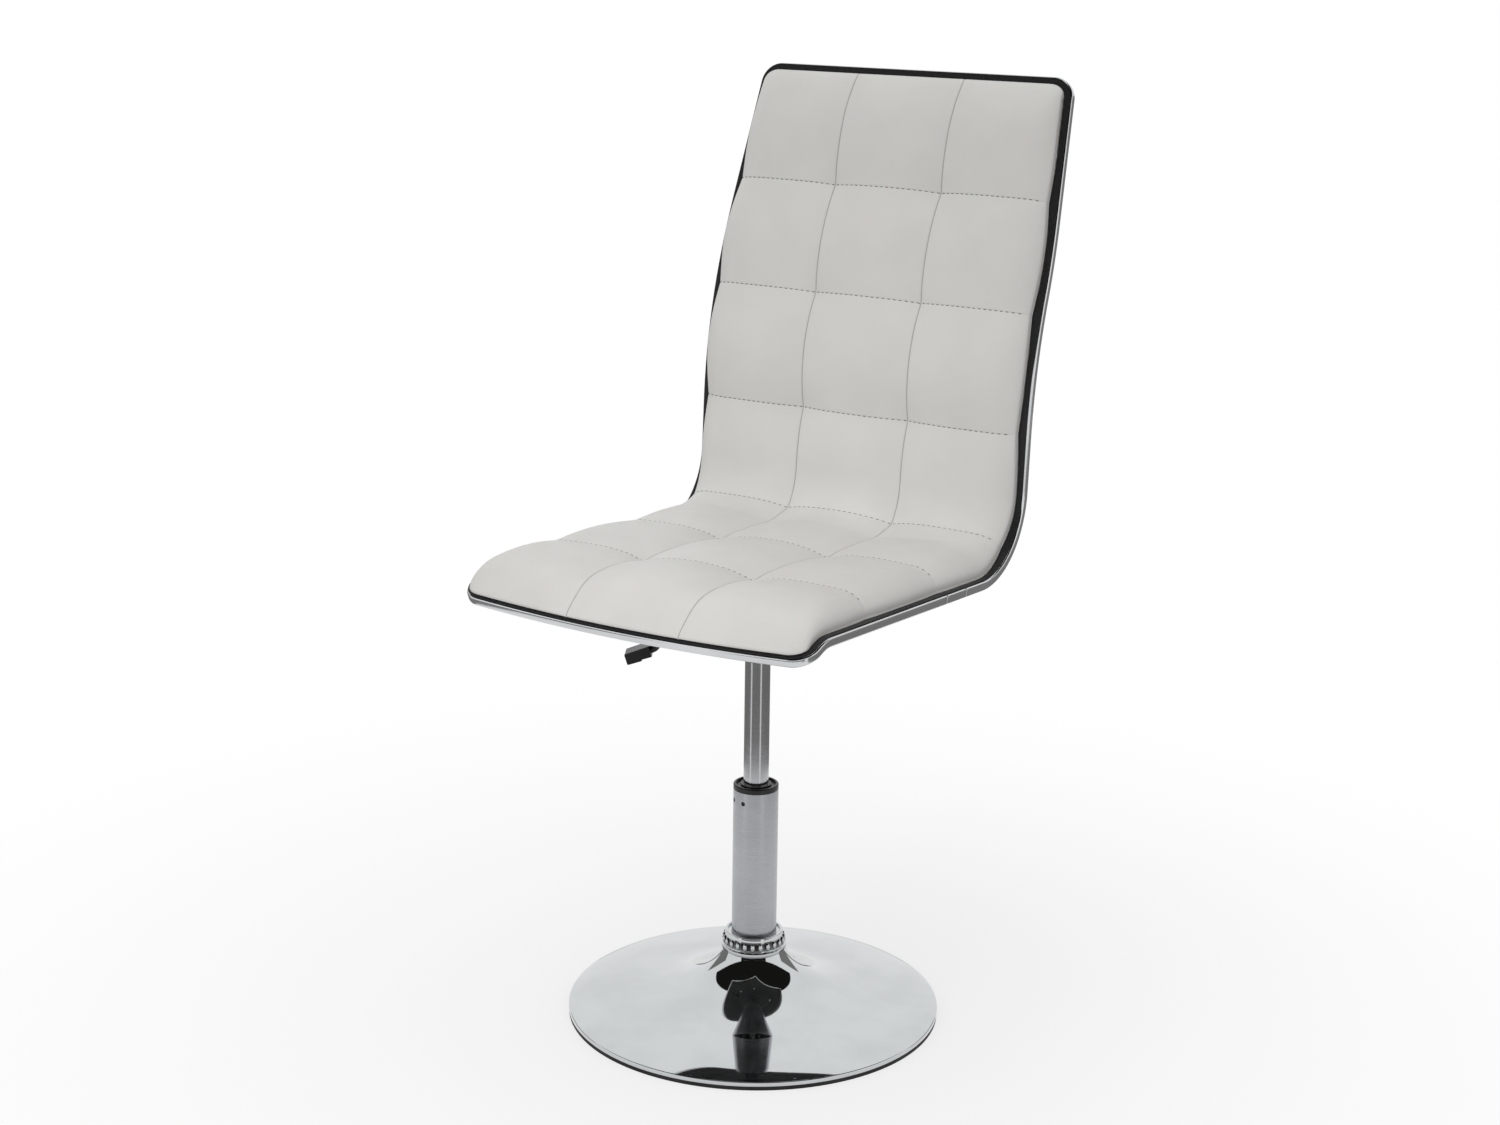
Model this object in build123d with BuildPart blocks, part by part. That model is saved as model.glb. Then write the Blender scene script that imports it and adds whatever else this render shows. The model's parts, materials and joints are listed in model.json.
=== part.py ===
"""Height adjustable swivel chair: tufted one-piece seat on a gas lift and a trumpet base.

Millimetres. The origin is the centre of the base on the floor, +Z is up, the sitter faces -Y
and +X is the sitter's left. The model stands at the top of the gas lift's stroke.
"""

import math
import os

from build123d import *

os.makedirs("parts", exist_ok=True)

# Fits and clearances
running_clearance = 0.05
seat_gap = 0.1
soft_gap = 0.3
hole_clearance = 0.3

# Trumpet base
rim_radius = 207.5
rim_height = 9.0
rim_lip = 4.4
rim_slope = 20.6
edge_run = 20.2
edge_rise = 5.6
edge_slope = 10.4
dish_run = 80.7
dish_rise = 13.4
dish_slope = 4.4
dish_wall = 2.0
neck_radius = 34.0
neck_height = 74.0
neck_slope = 65.1
flare_run = 28.2
flare_fall = 31.2
flare_slope = 30.6

# Rubber floor ring and the stiffening plate above it
floor_ring_height = 4.4
floor_ring_width = 22.0
floor_ring_rib = 2.4
floor_ring_rib_height = 2.0
base_plate_thickness = 3.0
socket_wall = 4.0
socket_ledge = 5.0
socket_flange = 15.0
socket_flange_thickness = 4.0

# Column tube and its collar
column_radius = 25.0
column_wall = 2.0
column_bottom = 20.0
column_top = 262.0
end_plate_thickness = 5.0
snap_hole_radius = 2.5
snap_hole_drop = 12.0
snap_hole_angles = (-92.0, -131.0, 88.0, 49.0)
snap_lug_height = 0.8
collar_foot_radius = 36.5
collar_band_radius = 33.4
collar_lip_radius = 32.4
collar_foot_height = 4.0
collar_band_height = 13.0
collar_lip_height = 4.0
collar_round = 1.3
bead_count = 24
bead_radius = 2.6
bead_length = 9.0

# Guide bushing
bushing_length = 90.0
bushing_flange_height = 6.0
bushing_recess_width = 5.0
bushing_recess_depth = 2.5
bushing_round = 1.5

# Gas lift
lift_radius = 14.0
lift_wall = 1.5
lift_top = 444.0
lift_stroke = 120.0
lift_plug_length = 39.0
lift_lip_height = 2.0
lift_lip_radius = 9.0
taper_length = 32.0
taper_drop = 0.9
gland_length = 14.0
rod_radius = 5.0
rod_bottom = 11.0
rod_shoulder_radius = 9.0
rod_shoulder_height = 5.0
piston_length = 12.0
piston_rise = 6.0
seal_groove_depth = 2.0
seal_groove_width = 4.0

# Thrust bearing, washer, clip and bump stop on the rod
race_radius = 16.0
race_thickness = 2.0
ball_radius = 2.0
ball_count = 10
ball_circle = 11.0
cage_thickness = 2.2
cage_width = 7.0
rod_hole_clearance = 0.5
washer_radius = 10.0
washer_thickness = 1.8
clip_thickness = 1.5
clip_radius = 8.0
clip_groove = 1.0
bump_radius = 11.0
bump_length = 16.0
bump_waist = 2.5
bump_clearance = 16.0

# Side profile of the seat shell, from the front edge to the top edge
shell_front_y = -252.5
seat_rise = 63.2
lip_slope = 22.0
lip_flat = 29.0
lip_radius = 50.0
seat_rake = 3.0
seat_flat = 322.4
bend_radius = 85.0
lower_back_lean = 3.0
lower_back_flat = 55.0
lumbar_radius = 600.0
upper_back_lean = 18.5
upper_back_flat = 232.0
straight_tolerance = 0.001

# Outline of the seat shell
shell_half_width = 203.0
shell_thickness = 10.0
front_bow = 10.0
corner_radius = 16.0
taper_blend = 80.0
taper_angle = 4.0

# Edge trim, flat piping and rear covers
trim_depth = 8.8
trim_height = 10.4
trim_round = 2.8
trim_joint_start_y = 34.0
trim_joint_length = 43.0
trim_joint_gap = 0.25
piping_width = 7.0
piping_height = 1.2
cover_thickness = 1.2
cover_inset = 1.5
cover_split_gap = 0.4

# Tufted pads: three columns of panels, three rows on the seat and four on the back
front_row = 134.0
middle_row = 149.0
back_rows = (131.0, 129.0, 124.0)
panel_half_width = 68.0
seat_tuft_height = 21.0
back_tuft_height = 12.5
column_crown = 8.5
seat_row_crown = 6.0
back_row_crown = 8.0
pad_inset = 0.6
pad_edge_height = 4.5
side_roll = 26.0
side_crown = 4.0
side_panel_crown = 5.0
side_draw_in = 2.4
front_roll = 106.0
top_roll = 58.0
end_roll_least = 0.16
pad_sink = 3.0
row_stations = (0.0, 0.25, 0.5, 0.75, 1.0)
roll_stations = (0.0, 0.08, 0.3, 0.6, 1.0)
pad_cut_reach = 60.0

# Mounting plate and pan under the seat
plate_width = 176.0
plate_depth = 210.0
plate_thickness = 3.0
plate_corner = 14.0
bolt_spacing_x = 140.0
bolt_spacing_y = 180.0
bolt_radius = 3.0
bolt_head_radius = 5.5
bolt_head_height = 4.0
washer_outer_radius = 7.0
bolt_washer_thickness = 1.6
tee_nut_radius = 9.5
tee_nut_flange = 1.5
tee_nut_barrel = 4.5
tee_nut_length = 9.5
pan_width = 160.0
pan_depth = 150.0
pan_drop = 10.0
pan_wall = 2.5
pan_corner = 16.0
pan_fillet = 6.0
cone_radius = 20.0
thread_engagement = 8.0

# Release lever and valve pin
lever_heading = 210.0
lever_pivot_reach = 30.0
lever_lift = 8.0
lever_rod_radius = 4.0
lever_finger_radius = 3.0
lever_finger_length = 14.0
lever_finger_width = 8.0
lever_exit_reach = 101.0
lever_drop_reach = 111.0
lever_drop = 32.0
lever_tip_reach = 136.0
lever_tip_drop = 40.0
lever_bend_radius = 9.0
lever_boss_radius = 7.0
lever_boss_width = 12.0
lever_pin_radius = 3.0
lever_pin_head = 5.0
lever_pin_head_height = 2.0
bracket_wall = 3.0
bracket_width = 22.0
bracket_margin = 1.0
lever_slot_margin = 1.5
handle_start = 6.0
handle_overhang = 8.0
handle_half_height = 7.0
handle_half_width = 11.0
handle_step = 1.5
handle_step_start = 12.0
handle_round = 1.5
valve_pin_radius = 4.0
valve_pin_rise = 5.0
valve_pin_length = 30.0
valve_pin_chamfer = 0.5

# Values worked out from the sizes above
column_bore = column_radius - column_wall
lift_bore = lift_radius - lift_wall
end_plate_top = column_bottom + end_plate_thickness
lower_race_top = end_plate_top + race_thickness
ball_height = lower_race_top + ball_radius
upper_race_bottom = ball_height + ball_radius
shoulder_bottom = upper_race_bottom + race_thickness
bump_bottom = shoulder_bottom + rod_shoulder_height
lift_bottom = bump_bottom + bump_length + bump_clearance + lift_stroke
gland_bottom = lift_bottom + lift_lip_height
piston_bottom = gland_bottom + gland_length + piston_rise
rod_top = piston_bottom + piston_length
socket_bottom = floor_ring_height + base_plate_thickness + seat_gap
collar_bottom = neck_height + seat_gap
collar_top = collar_bottom + collar_foot_height + collar_band_height + collar_lip_height
valve_pin_top = lift_top + valve_pin_rise
shell_front_z = lift_top + seat_rise
pan_bottom = lift_top - pan_drop
lever_height = valve_pin_top + soft_gap + lever_finger_radius
lever_travel = lever_pivot_reach * math.radians(lever_lift)

# The side profile is a chain of straight stretches and arcs. Each entry holds its turn in
# degrees, where up is positive, then a straight's length or an arc's radius.
profile_turns = (
    (0.0, lip_flat),
    (-(lip_slope + seat_rake), lip_radius),
    (0.0, seat_flat),
    (90.0 - lower_back_lean + seat_rake, bend_radius),
    (0.0, lower_back_flat),
    (lower_back_lean - upper_back_lean, lumbar_radius),
    (0.0, upper_back_flat),
)


def stretch_length(turn, size):
    """A straight's size is its length, and an arc's size is its radius."""
    return size if turn == 0 else abs(math.radians(turn)) * size


profile_stops = [0.0]
for turn_angle, turn_size in profile_turns:
    profile_stops.append(profile_stops[-1] + stretch_length(turn_angle, turn_size))


def profile_state(distance):
    """Return y, z and the heading in degrees at a distance along the shell's upper face."""
    y, z, heading = shell_front_y, shell_front_z, lip_slope
    for (turn, size), start in zip(profile_turns, profile_stops):
        length = stretch_length(turn, size)
        run = min(max(distance - start, 0.0), length)
        share = run / length * turn
        chord = run if turn == 0 else 2 * size * math.sin(math.radians(abs(share)) / 2)
        aim = math.radians(heading + share / 2)
        y += chord * math.cos(aim)
        z += chord * math.sin(aim)
        heading += share
    return y, z, heading


def profile_point(distance, height):
    """Return the (y, z) point that stands off the shell's upper face by a height."""
    y, z, heading = profile_state(distance)
    angle = math.radians(heading)
    return y - height * math.sin(angle), z + height * math.cos(angle)


def profile_normal(distance):
    """Return the shell's upward normal at a distance along the profile."""
    angle = math.radians(profile_state(distance)[2])
    return Vector(0, -math.sin(angle), math.cos(angle))


def profile_plane(distance, height=0.0):
    """Return a plane on the shell: x is across, y runs up the profile, z is the normal."""
    y, z = profile_point(distance, height)
    return Plane(origin=(0, y, z), x_dir=(1, 0, 0), z_dir=profile_normal(distance))


def section_plane(distance):
    """Return a plane across the profile: x is across and y is the shell's normal."""
    y, z, heading = profile_state(distance)
    angle = math.radians(heading)
    return Plane(origin=(0, y, z), x_dir=(1, 0, 0), z_dir=(0, -math.cos(angle), -math.sin(angle)))


def profile_chain(start, end, height):
    """Draw the profile's lines and arcs between two distances, offset by a height."""
    stops = [start] + [stop for stop in profile_stops if start < stop < end] + [end]
    for first, last in zip(stops, stops[1:]):
        middle = (first + last) / 2
        points = [profile_point(place, height) for place in (first, middle, last)]
        if abs(profile_state(first)[2] - profile_state(last)[2]) < straight_tolerance:
            Line(points[0], points[2])
        else:
            ThreePointArc(*points)


lip_end = profile_stops[1]
seat_start = profile_stops[2]
bend_start = profile_stops[3]
bend_end = profile_stops[4]
upper_start = profile_stops[6]
shell_end = profile_stops[7]
bend_middle = (bend_start + bend_end) / 2


def seat_distance(y):
    """Return the distance along the profile of a point on the seat's straight stretch."""
    return seat_start + (y - profile_state(seat_start)[0]) / math.cos(math.radians(seat_rake))


axis_distance = seat_distance(0.0)


def lip_outline(inset):
    """Return the front edge: a bowed arc between rounded corners, in the lip's own plane."""
    half = shell_half_width - inset
    side_y = front_bow + inset
    with BuildSketch() as outline:
        with BuildLine():
            ThreePointArc((-half, side_y), (0, inset), (half, side_y))
            Polyline((half, side_y), (half, lip_flat), (-half, lip_flat), (-half, side_y))
        make_face()
        fillet(outline.vertices().sort_by(Axis.Y)[:2], corner_radius - inset)
    return outline.sketch


def upper_outline(inset):
    """Return the upper back: sides that turn inwards and taper to rounded top corners."""
    half = shell_half_width - inset
    turn = math.radians(taper_angle)
    blend_radius = taper_blend / turn
    middle = (half - blend_radius * (1 - math.cos(turn / 2)), blend_radius * math.sin(turn / 2))
    blend = (half - blend_radius * (1 - math.cos(turn)), blend_radius * math.sin(turn))
    top_y = upper_back_flat - inset
    top = (blend[0] - (top_y - blend[1]) * math.tan(turn), top_y)
    with BuildSketch() as outline:
        with BuildLine():
            ThreePointArc((half, 0), middle, blend)
            Polyline(blend, top, (0, top_y))
            mirror(about=Plane.YZ)
            Line((-half, 0), (half, 0))
        make_face()
        fillet(outline.vertices().sort_by(Axis.Y)[-2:], corner_radius - inset)
    return outline.sketch


def shell_layer(start, end, top, bottom, inset):
    """Return a bent sheet between two heights over the shell, from one distance to another."""
    first, last = max(start, lip_end), min(end, upper_start)
    with BuildPart() as layer:
        with BuildSketch(Plane.YZ):
            with BuildLine():
                profile_chain(first, last, top)
                Line(profile_point(last, top), profile_point(last, bottom))
                profile_chain(first, last, bottom)
                Line(profile_point(first, top), profile_point(first, bottom))
            make_face()
        extrude(amount=shell_half_width - inset, both=True)
        if start < lip_end:
            with BuildSketch(profile_plane(0, top)):
                add(lip_outline(inset))
            extrude(amount=bottom - top)
        if end > upper_start:
            with BuildSketch(profile_plane(upper_start, top)):
                add(upper_outline(inset))
            extrude(amount=bottom - top)
    return layer.part


def trim_section():
    """Return a bar's section that is flat against the shell's edge and round outside."""
    with BuildSketch() as section:
        with Locations((seat_gap + trim_depth / 2, -trim_height / 2 - seat_gap)):
            Rectangle(trim_depth, trim_height)
        fillet(section.vertices().sort_by(Axis.X)[-2:], trim_round)
    return section.sketch


def piping_section():
    """Return a flat welt's section, which lies on the trim just outside the pad."""
    with BuildSketch() as section:
        with Locations((soft_gap + piping_width / 2, seat_gap + piping_height / 2)):
            SlotOverall(piping_width, piping_height)
    return section.sketch


def rim_run(path, normal, section):
    """Return a rim section swept along a planar path that starts on one side of the shell."""
    start = path @ 0
    outward = Vector(math.copysign(1, start.X), 0, 0)
    with BuildPart() as run:
        with BuildSketch(Plane(origin=start, x_dir=outward, z_dir=outward.cross(normal))):
            add(section)
        sweep(path=path)
    return run.part


def outline_path(plane, outline, open_y):
    """Return an outline's wire, placed on a plane, without its straight edge at one local y."""
    kept = [edge for edge in outline.edges() if abs(edge.center().Y - open_y) > seat_gap]
    return Wire([plane.from_local_coords(edge) for edge in kept])


def side_path(start, end, side):
    """Return the shell's side edge between two distances as a planar wire."""
    with BuildLine(Plane.YZ.offset(side * shell_half_width)) as chain:
        profile_chain(start, end, 0)
    return chain.wire()


lip_path = outline_path(profile_plane(0), lip_outline(0), lip_flat)
top_path = outline_path(profile_plane(upper_start), upper_outline(0), 0)


def ring(inner, outer, bottom, height):
    """Add a plain ring about the chair's axis to the part being built."""
    with Locations((0, 0, bottom + height / 2)):
        Cylinder(outer, height)
        Cylinder(inner, height, mode=Mode.SUBTRACT)


# Trumpet base: a pressed dish with a flared neck, a domed edge and a turned-down rim. Each stop of
# its section has a radius, a height and a downward slope.
dish_stops = (
    (neck_radius, neck_height, neck_slope),
    (neck_radius + flare_run, neck_height - flare_fall, flare_slope),
    (rim_radius - dish_run, rim_height + dish_rise, dish_slope),
    (rim_radius - edge_run, rim_height + edge_rise, edge_slope),
    (rim_radius, rim_height, rim_slope),
)


def dish_line(depth):
    """Draw the dish's section at a depth under its outer face."""
    slopes = [math.radians(slope) for _, _, slope in dish_stops]
    stops = [
        (radius - depth * math.sin(slope), height - depth * math.cos(slope))
        for (radius, height, _), slope in zip(dish_stops, slopes)
    ]
    return Spline(*stops, tangents=[(math.cos(slope), -math.sin(slope)) for slope in slopes])


with BuildPart() as base_dish:
    flange_radius = column_radius + running_clearance + socket_wall + seat_gap
    with BuildSketch(Plane.XZ):
        with BuildLine():
            outer_line = dish_line(0.0)
            inner_line = dish_line(dish_wall)
            Line(outer_line @ 0, inner_line @ 0)
            Line(outer_line @ 1, inner_line @ 1)
        make_face()
        with Locations(((flange_radius + neck_radius) / 2, neck_height - dish_wall / 2)):
            Rectangle(neck_radius - flange_radius, dish_wall)
        with Locations((rim_radius - dish_wall / 2, rim_height - rim_lip / 2)):
            Rectangle(dish_wall, rim_lip)
    revolve(axis=Axis.Z)
base_dish.part.label = "base_dish"
export_step(base_dish.part, "parts/base_dish.step")

# Rubber ring on the floor, with a rib inside the dish's rim
with BuildPart() as floor_ring:
    ring_outer = rim_radius - seat_gap
    rib_outer = rim_radius - dish_wall - seat_gap
    ring(ring_outer - floor_ring_width, ring_outer, 0, floor_ring_height)
    ring(rib_outer - floor_ring_rib, rib_outer, floor_ring_height, floor_ring_rib_height)
floor_ring.part.label = "floor_ring"
export_step(floor_ring.part, "parts/floor_ring.step")

# Stiffening plate across the foot of the dish, resting on the floor ring
with BuildPart() as base_plate:
    plate_outer = rib_outer - floor_ring_rib - seat_gap
    ring(column_radius - socket_wall, plate_outer, floor_ring_height, base_plate_thickness)
base_plate.part.label = "base_plate"
export_step(base_plate.part, "parts/base_plate.step")

# Socket welded to the plate, which holds the foot of the column
with BuildPart() as column_socket:
    socket_radius = column_radius + running_clearance + socket_wall
    ring(column_radius - socket_ledge, socket_radius + socket_flange, socket_bottom, socket_flange_thickness)
    ring(column_radius - socket_ledge, socket_radius, socket_bottom, neck_height - socket_bottom)
    with Locations((0, 0, (column_bottom + neck_height) / 2)):
        Cylinder(column_radius + running_clearance, neck_height - column_bottom, mode=Mode.SUBTRACT)
column_socket.part.label = "column_socket"
export_step(column_socket.part, "parts/column_socket.step")

# Column tube with pairs of snap holes near its top
with BuildPart() as column_tube:
    ring(column_bore, column_radius, column_bottom, column_top - column_bottom)
    for hole_angle in snap_hole_angles:
        hole_turn = Location((0, 0, column_top - snap_hole_drop), (0, 0, hole_angle))
        with BuildSketch(Plane(hole_turn * Location((0, 0, 0), (0, 90, 0)))):
            Circle(snap_hole_radius)
        extrude(amount=column_radius + seat_gap, mode=Mode.SUBTRACT)
column_tube.part.label = "column_tube"
export_step(column_tube.part, "parts/column_tube.step")

# Plate inside the foot of the tube, which carries the bearing
with BuildPart() as tube_end_plate:
    rod_hole = rod_radius + rod_hole_clearance
    ring(rod_hole, column_bore - running_clearance, column_bottom, end_plate_thickness)
tube_end_plate.part.label = "tube_end_plate"
export_step(tube_end_plate.part, "parts/tube_end_plate.step")

# Collar over the joint of the neck and the tube, with upright beads around its band
with BuildPart() as collar:
    collar_bore = column_radius + seat_gap
    band_bottom = collar_bottom + collar_foot_height
    ring(collar_bore, collar_foot_radius, collar_bottom, collar_foot_height)
    fillet(collar.edges().group_by(Axis.Z)[-1].sort_by(SortBy.RADIUS)[-1], collar_round)
    ring(collar_bore, collar_band_radius, band_bottom, collar_band_height)
    ring(collar_bore, collar_lip_radius, band_bottom + collar_band_height, collar_lip_height)
    fillet(collar.edges().group_by(Axis.Z)[-1].sort_by(SortBy.RADIUS)[-1], collar_round)
    bead_half = bead_length / 2 - bead_radius
    with BuildSketch(Plane.XZ) as bead_outline:
        with Locations((collar_band_radius, band_bottom + collar_band_height / 2)):
            SlotCenterToCenter(2 * bead_half, 2 * bead_radius, rotation=90)
            Rectangle(2 * bead_radius, bead_length, align=(Align.MAX, Align.CENTER), mode=Mode.SUBTRACT)
    bead_axis = Axis((collar_band_radius, 0, 0), (0, 0, 1))
    with PolarLocations(0, bead_count):
        add(revolve(bead_outline.sketch, axis=bead_axis, mode=Mode.PRIVATE))
collar.part.label = "collar"
export_step(collar.part, "parts/collar.step")

# Plastic guide bushing with a recessed flange and lugs in the snap holes
with BuildPart() as guide_bushing:
    bushing_bore = lift_radius + running_clearance
    bushing_radius = column_bore - running_clearance
    ring(bushing_bore, bushing_radius, column_top - bushing_length, bushing_length)
    ring(bushing_bore, column_radius, column_top, bushing_flange_height)
    flange_top = column_top + bushing_flange_height
    fillet(guide_bushing.edges().group_by(Axis.Z)[-1].sort_by(SortBy.RADIUS)[-1], bushing_round)
    recess_middle = (bushing_bore + column_radius) / 2
    with BuildSketch(Plane.XY.offset(flange_top)):
        Circle(recess_middle + bushing_recess_width / 2)
        Circle(recess_middle - bushing_recess_width / 2, mode=Mode.SUBTRACT)
    extrude(amount=-bushing_recess_depth, mode=Mode.SUBTRACT)
    for lug_angle in snap_hole_angles:
        lug_turn = Location((0, 0, column_top - snap_hole_drop), (0, 0, lug_angle))
        lug_plane = Plane(lug_turn * Location((0, 0, 0), (0, 90, 0)))
        with BuildSketch(lug_plane.offset(bushing_radius - snap_lug_height)):
            Circle(snap_hole_radius - seat_gap)
        extrude(amount=2 * snap_lug_height)
guide_bushing.part.label = "guide_bushing"
export_step(guide_bushing.part, "parts/guide_bushing.step")

# Thrust bearing: lower race on the end plate, upper race under the rod's shoulder
with BuildPart() as bearing_lower_race:
    ring(rod_hole, race_radius, end_plate_top, race_thickness)
bearing_lower_race.part.label = "bearing_lower_race"
export_step(bearing_lower_race.part, "parts/bearing_lower_race.step")

with BuildPart() as bearing_upper_race:
    ring(rod_radius + running_clearance, race_radius, upper_race_bottom, race_thickness)
bearing_upper_race.part.label = "bearing_upper_race"
export_step(bearing_upper_race.part, "parts/bearing_upper_race.step")

with BuildPart() as bearing_cage:
    ring(ball_circle - cage_width / 2, ball_circle + cage_width / 2,
         ball_height - cage_thickness / 2, cage_thickness)
    with Locations((0, 0, ball_height)):
        with PolarLocations(ball_circle, ball_count):
            Cylinder(ball_radius + running_clearance, cage_thickness, mode=Mode.SUBTRACT)
bearing_cage.part.label = "bearing_cage"
export_step(bearing_cage.part, "parts/bearing_cage.step")

with BuildPart() as bearing_balls:
    with Locations((0, 0, ball_height)):
        with PolarLocations(ball_circle, ball_count):
            Sphere(ball_radius - running_clearance)
bearing_balls.part.label = "bearing_balls"
export_step(bearing_balls.part, "parts/bearing_balls.step")

# Piston rod: it turns on the bearing and is held from below by a washer and a clip
with BuildPart() as piston_rod:
    washer_top = column_bottom - seat_gap
    clip_top = washer_top - washer_thickness
    with Locations((0, 0, (rod_bottom + rod_top) / 2)):
        Cylinder(rod_radius, rod_top - rod_bottom)
    with Locations((0, 0, shoulder_bottom + rod_shoulder_height / 2)):
        Cylinder(rod_shoulder_radius, rod_shoulder_height)
    with BuildSketch(Plane.XY.offset(clip_top)):
        Circle(rod_radius + seat_gap)
        Circle(rod_radius - clip_groove, mode=Mode.SUBTRACT)
    extrude(amount=-clip_thickness - seat_gap, mode=Mode.SUBTRACT)
    chamfer(piston_rod.edges().group_by(Axis.Z)[0], clip_groove)
piston_rod.part.label = "piston_rod"
export_step(piston_rod.part, "parts/piston_rod.step")

with BuildPart() as rod_washer:
    ring(rod_radius + running_clearance, washer_radius, clip_top, washer_thickness)
rod_washer.part.label = "rod_washer"
export_step(rod_washer.part, "parts/rod_washer.step")

with BuildPart() as rod_clip:
    ring(rod_radius - clip_groove + running_clearance, clip_radius, clip_top - clip_thickness, clip_thickness)
    with Locations((0, -clip_radius, clip_top - clip_thickness / 2)):
        Box(2 * (rod_radius - clip_groove), 2 * clip_radius, clip_thickness, mode=Mode.SUBTRACT)
rod_clip.part.label = "rod_clip"
export_step(rod_clip.part, "parts/rod_clip.step")

# Rubber bump stop with a waist, on the rod above its shoulder
with BuildPart() as bump_stop:
    ring(rod_radius + running_clearance, bump_radius, bump_bottom, bump_length)
    with BuildSketch(Plane.XZ):
        with Locations((bump_radius, bump_bottom + bump_length / 2)):
            Circle(bump_waist)
    revolve(axis=Axis.Z, mode=Mode.SUBTRACT)
bump_stop.part.label = "bump_stop"
export_step(bump_stop.part, "parts/bump_stop.step")

# Piston and its seal inside the cylinder
with BuildPart() as piston:
    groove_radius = lift_bore - seal_groove_depth
    groove_bottom = piston_bottom + (piston_length - seal_groove_width) / 2
    ring(rod_radius + running_clearance, lift_bore - seat_gap, piston_bottom, piston_length)
    with BuildSketch(Plane.XY.offset(groove_bottom)):
        Circle(lift_bore)
        Circle(groove_radius, mode=Mode.SUBTRACT)
    extrude(amount=seal_groove_width, mode=Mode.SUBTRACT)
piston.part.label = "piston"
export_step(piston.part, "parts/piston.step")

with BuildPart() as piston_seal:
    ring(groove_radius + running_clearance, lift_bore - running_clearance,
         groove_bottom + seat_gap, seal_groove_width - 2 * seat_gap)
piston_seal.part.label = "piston_seal"
export_step(piston_seal.part, "parts/piston_seal.step")

# Gas cylinder: a tube with a solid tapered head, which slides and turns in the bushing
with BuildPart() as gas_cylinder:
    taper_start = lift_top - taper_length
    taper_radius = lift_radius - taper_drop
    head_bottom = lift_top - lift_plug_length
    with BuildSketch(Plane.XZ):
        with BuildLine():
            Polyline(
                (lift_lip_radius, lift_bottom),
                (lift_radius, lift_bottom),
                (lift_radius, taper_start),
                (taper_radius, lift_top),
                (0, lift_top),
                (0, head_bottom),
                (lift_bore, head_bottom),
                (lift_bore, gland_bottom),
                (lift_lip_radius, gland_bottom),
                close=True,
            )
        make_face()
    revolve(axis=Axis.Z)
    with BuildSketch(Plane.XY.offset(lift_top)):
        Circle(valve_pin_radius + running_clearance)
    extrude(amount=-(valve_pin_length + lever_travel + seat_gap - valve_pin_rise), mode=Mode.SUBTRACT)
gas_cylinder.part.label = "gas_cylinder"
export_step(gas_cylinder.part, "parts/gas_cylinder.step")

with BuildPart() as cylinder_gland:
    ring(rod_radius + running_clearance, lift_bore - running_clearance, gland_bottom, gland_length)
cylinder_gland.part.label = "cylinder_gland"
export_step(cylinder_gland.part, "parts/cylinder_gland.step")

# Valve pin in the cylinder's head
with BuildPart() as valve_pin:
    with Locations((0, 0, valve_pin_top - valve_pin_length / 2)):
        Cylinder(valve_pin_radius, valve_pin_length)
    chamfer(valve_pin.edges().group_by(Axis.Z)[-1], valve_pin_chamfer)
valve_pin.part.label = "valve_pin"
export_step(valve_pin.part, "parts/valve_pin.step")


# Tufted pads. Every row of panels is a loft through sections across the shell. A section has
# a flat foot, rolled sides and three crowned panels between two seams.
def side_taper(distance):
    """Return how far the shell's side has drawn in at a distance along the profile."""
    run = max(distance - upper_start, 0.0)
    turn = math.radians(taper_angle)
    blend_radius = taper_blend / turn
    blend_run = min(run, blend_radius * math.sin(turn))
    drawn = blend_radius - math.sqrt(blend_radius**2 - blend_run**2)
    return drawn + (run - blend_run) * math.tan(turn)


def pad_row(start, end, tuft, crown, roll_in=0.0, roll_out=0.0):
    """Return a row of three panels that bulges between its seams and rolls off at a free end."""
    roll = (roll_in + roll_out) / (end - start)
    places = list(row_stations)
    if roll:
        places = [roll * station for station in roll_stations]
        places += [roll + (1 - roll) * station for station in row_stations[1:]]
    if roll_out:
        places = [1 - place for place in reversed(places)]
    with BuildPart() as row:
        for place in places:
            free = 1.0
            if roll_in:
                free = min(place / roll, 1.0)
            if roll_out:
                free = min((1 - place) / roll, 1.0)
            rise = max(math.sqrt(1 - (1 - free) ** 2), end_roll_least)
            arch = math.sin(math.pi * place)
            distance = start + place * (end - start)
            half = shell_half_width - side_taper(distance) - pad_inset - side_draw_in * (1 - arch)
            shoulder = half - side_roll
            seam = pad_edge_height + rise * (tuft + crown * arch - pad_edge_height)
            shoulder_top = seam + rise * side_crown
            panel_top = seam + rise * (side_crown / 2 + side_panel_crown)
            roll_point = (
                shoulder + side_roll * math.sin(math.pi / 4),
                pad_edge_height + (shoulder_top - pad_edge_height) * math.sin(math.pi / 4),
            )
            with BuildSketch(section_plane(distance)):
                with BuildLine():
                    ThreePointArc(
                        (-panel_half_width, seam), (0, seam + rise * column_crown), (panel_half_width, seam)
                    )
                    for side in (-1, 1):
                        ThreePointArc(
                            (side * panel_half_width, seam),
                            (side * (panel_half_width + shoulder) / 2, panel_top),
                            (side * shoulder, shoulder_top),
                        )
                        ThreePointArc(
                            (side * shoulder, shoulder_top),
                            (side * roll_point[0], roll_point[1]),
                            (side * half, pad_edge_height),
                        )
                        Line((side * half, pad_edge_height), (side * half, -pad_sink))
                    Line((-half, -pad_sink), (half, -pad_sink))
                make_face()
        loft()
    return row.part


shell_block = shell_layer(0, shell_end, soft_gap, -shell_thickness, -side_roll)


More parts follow.
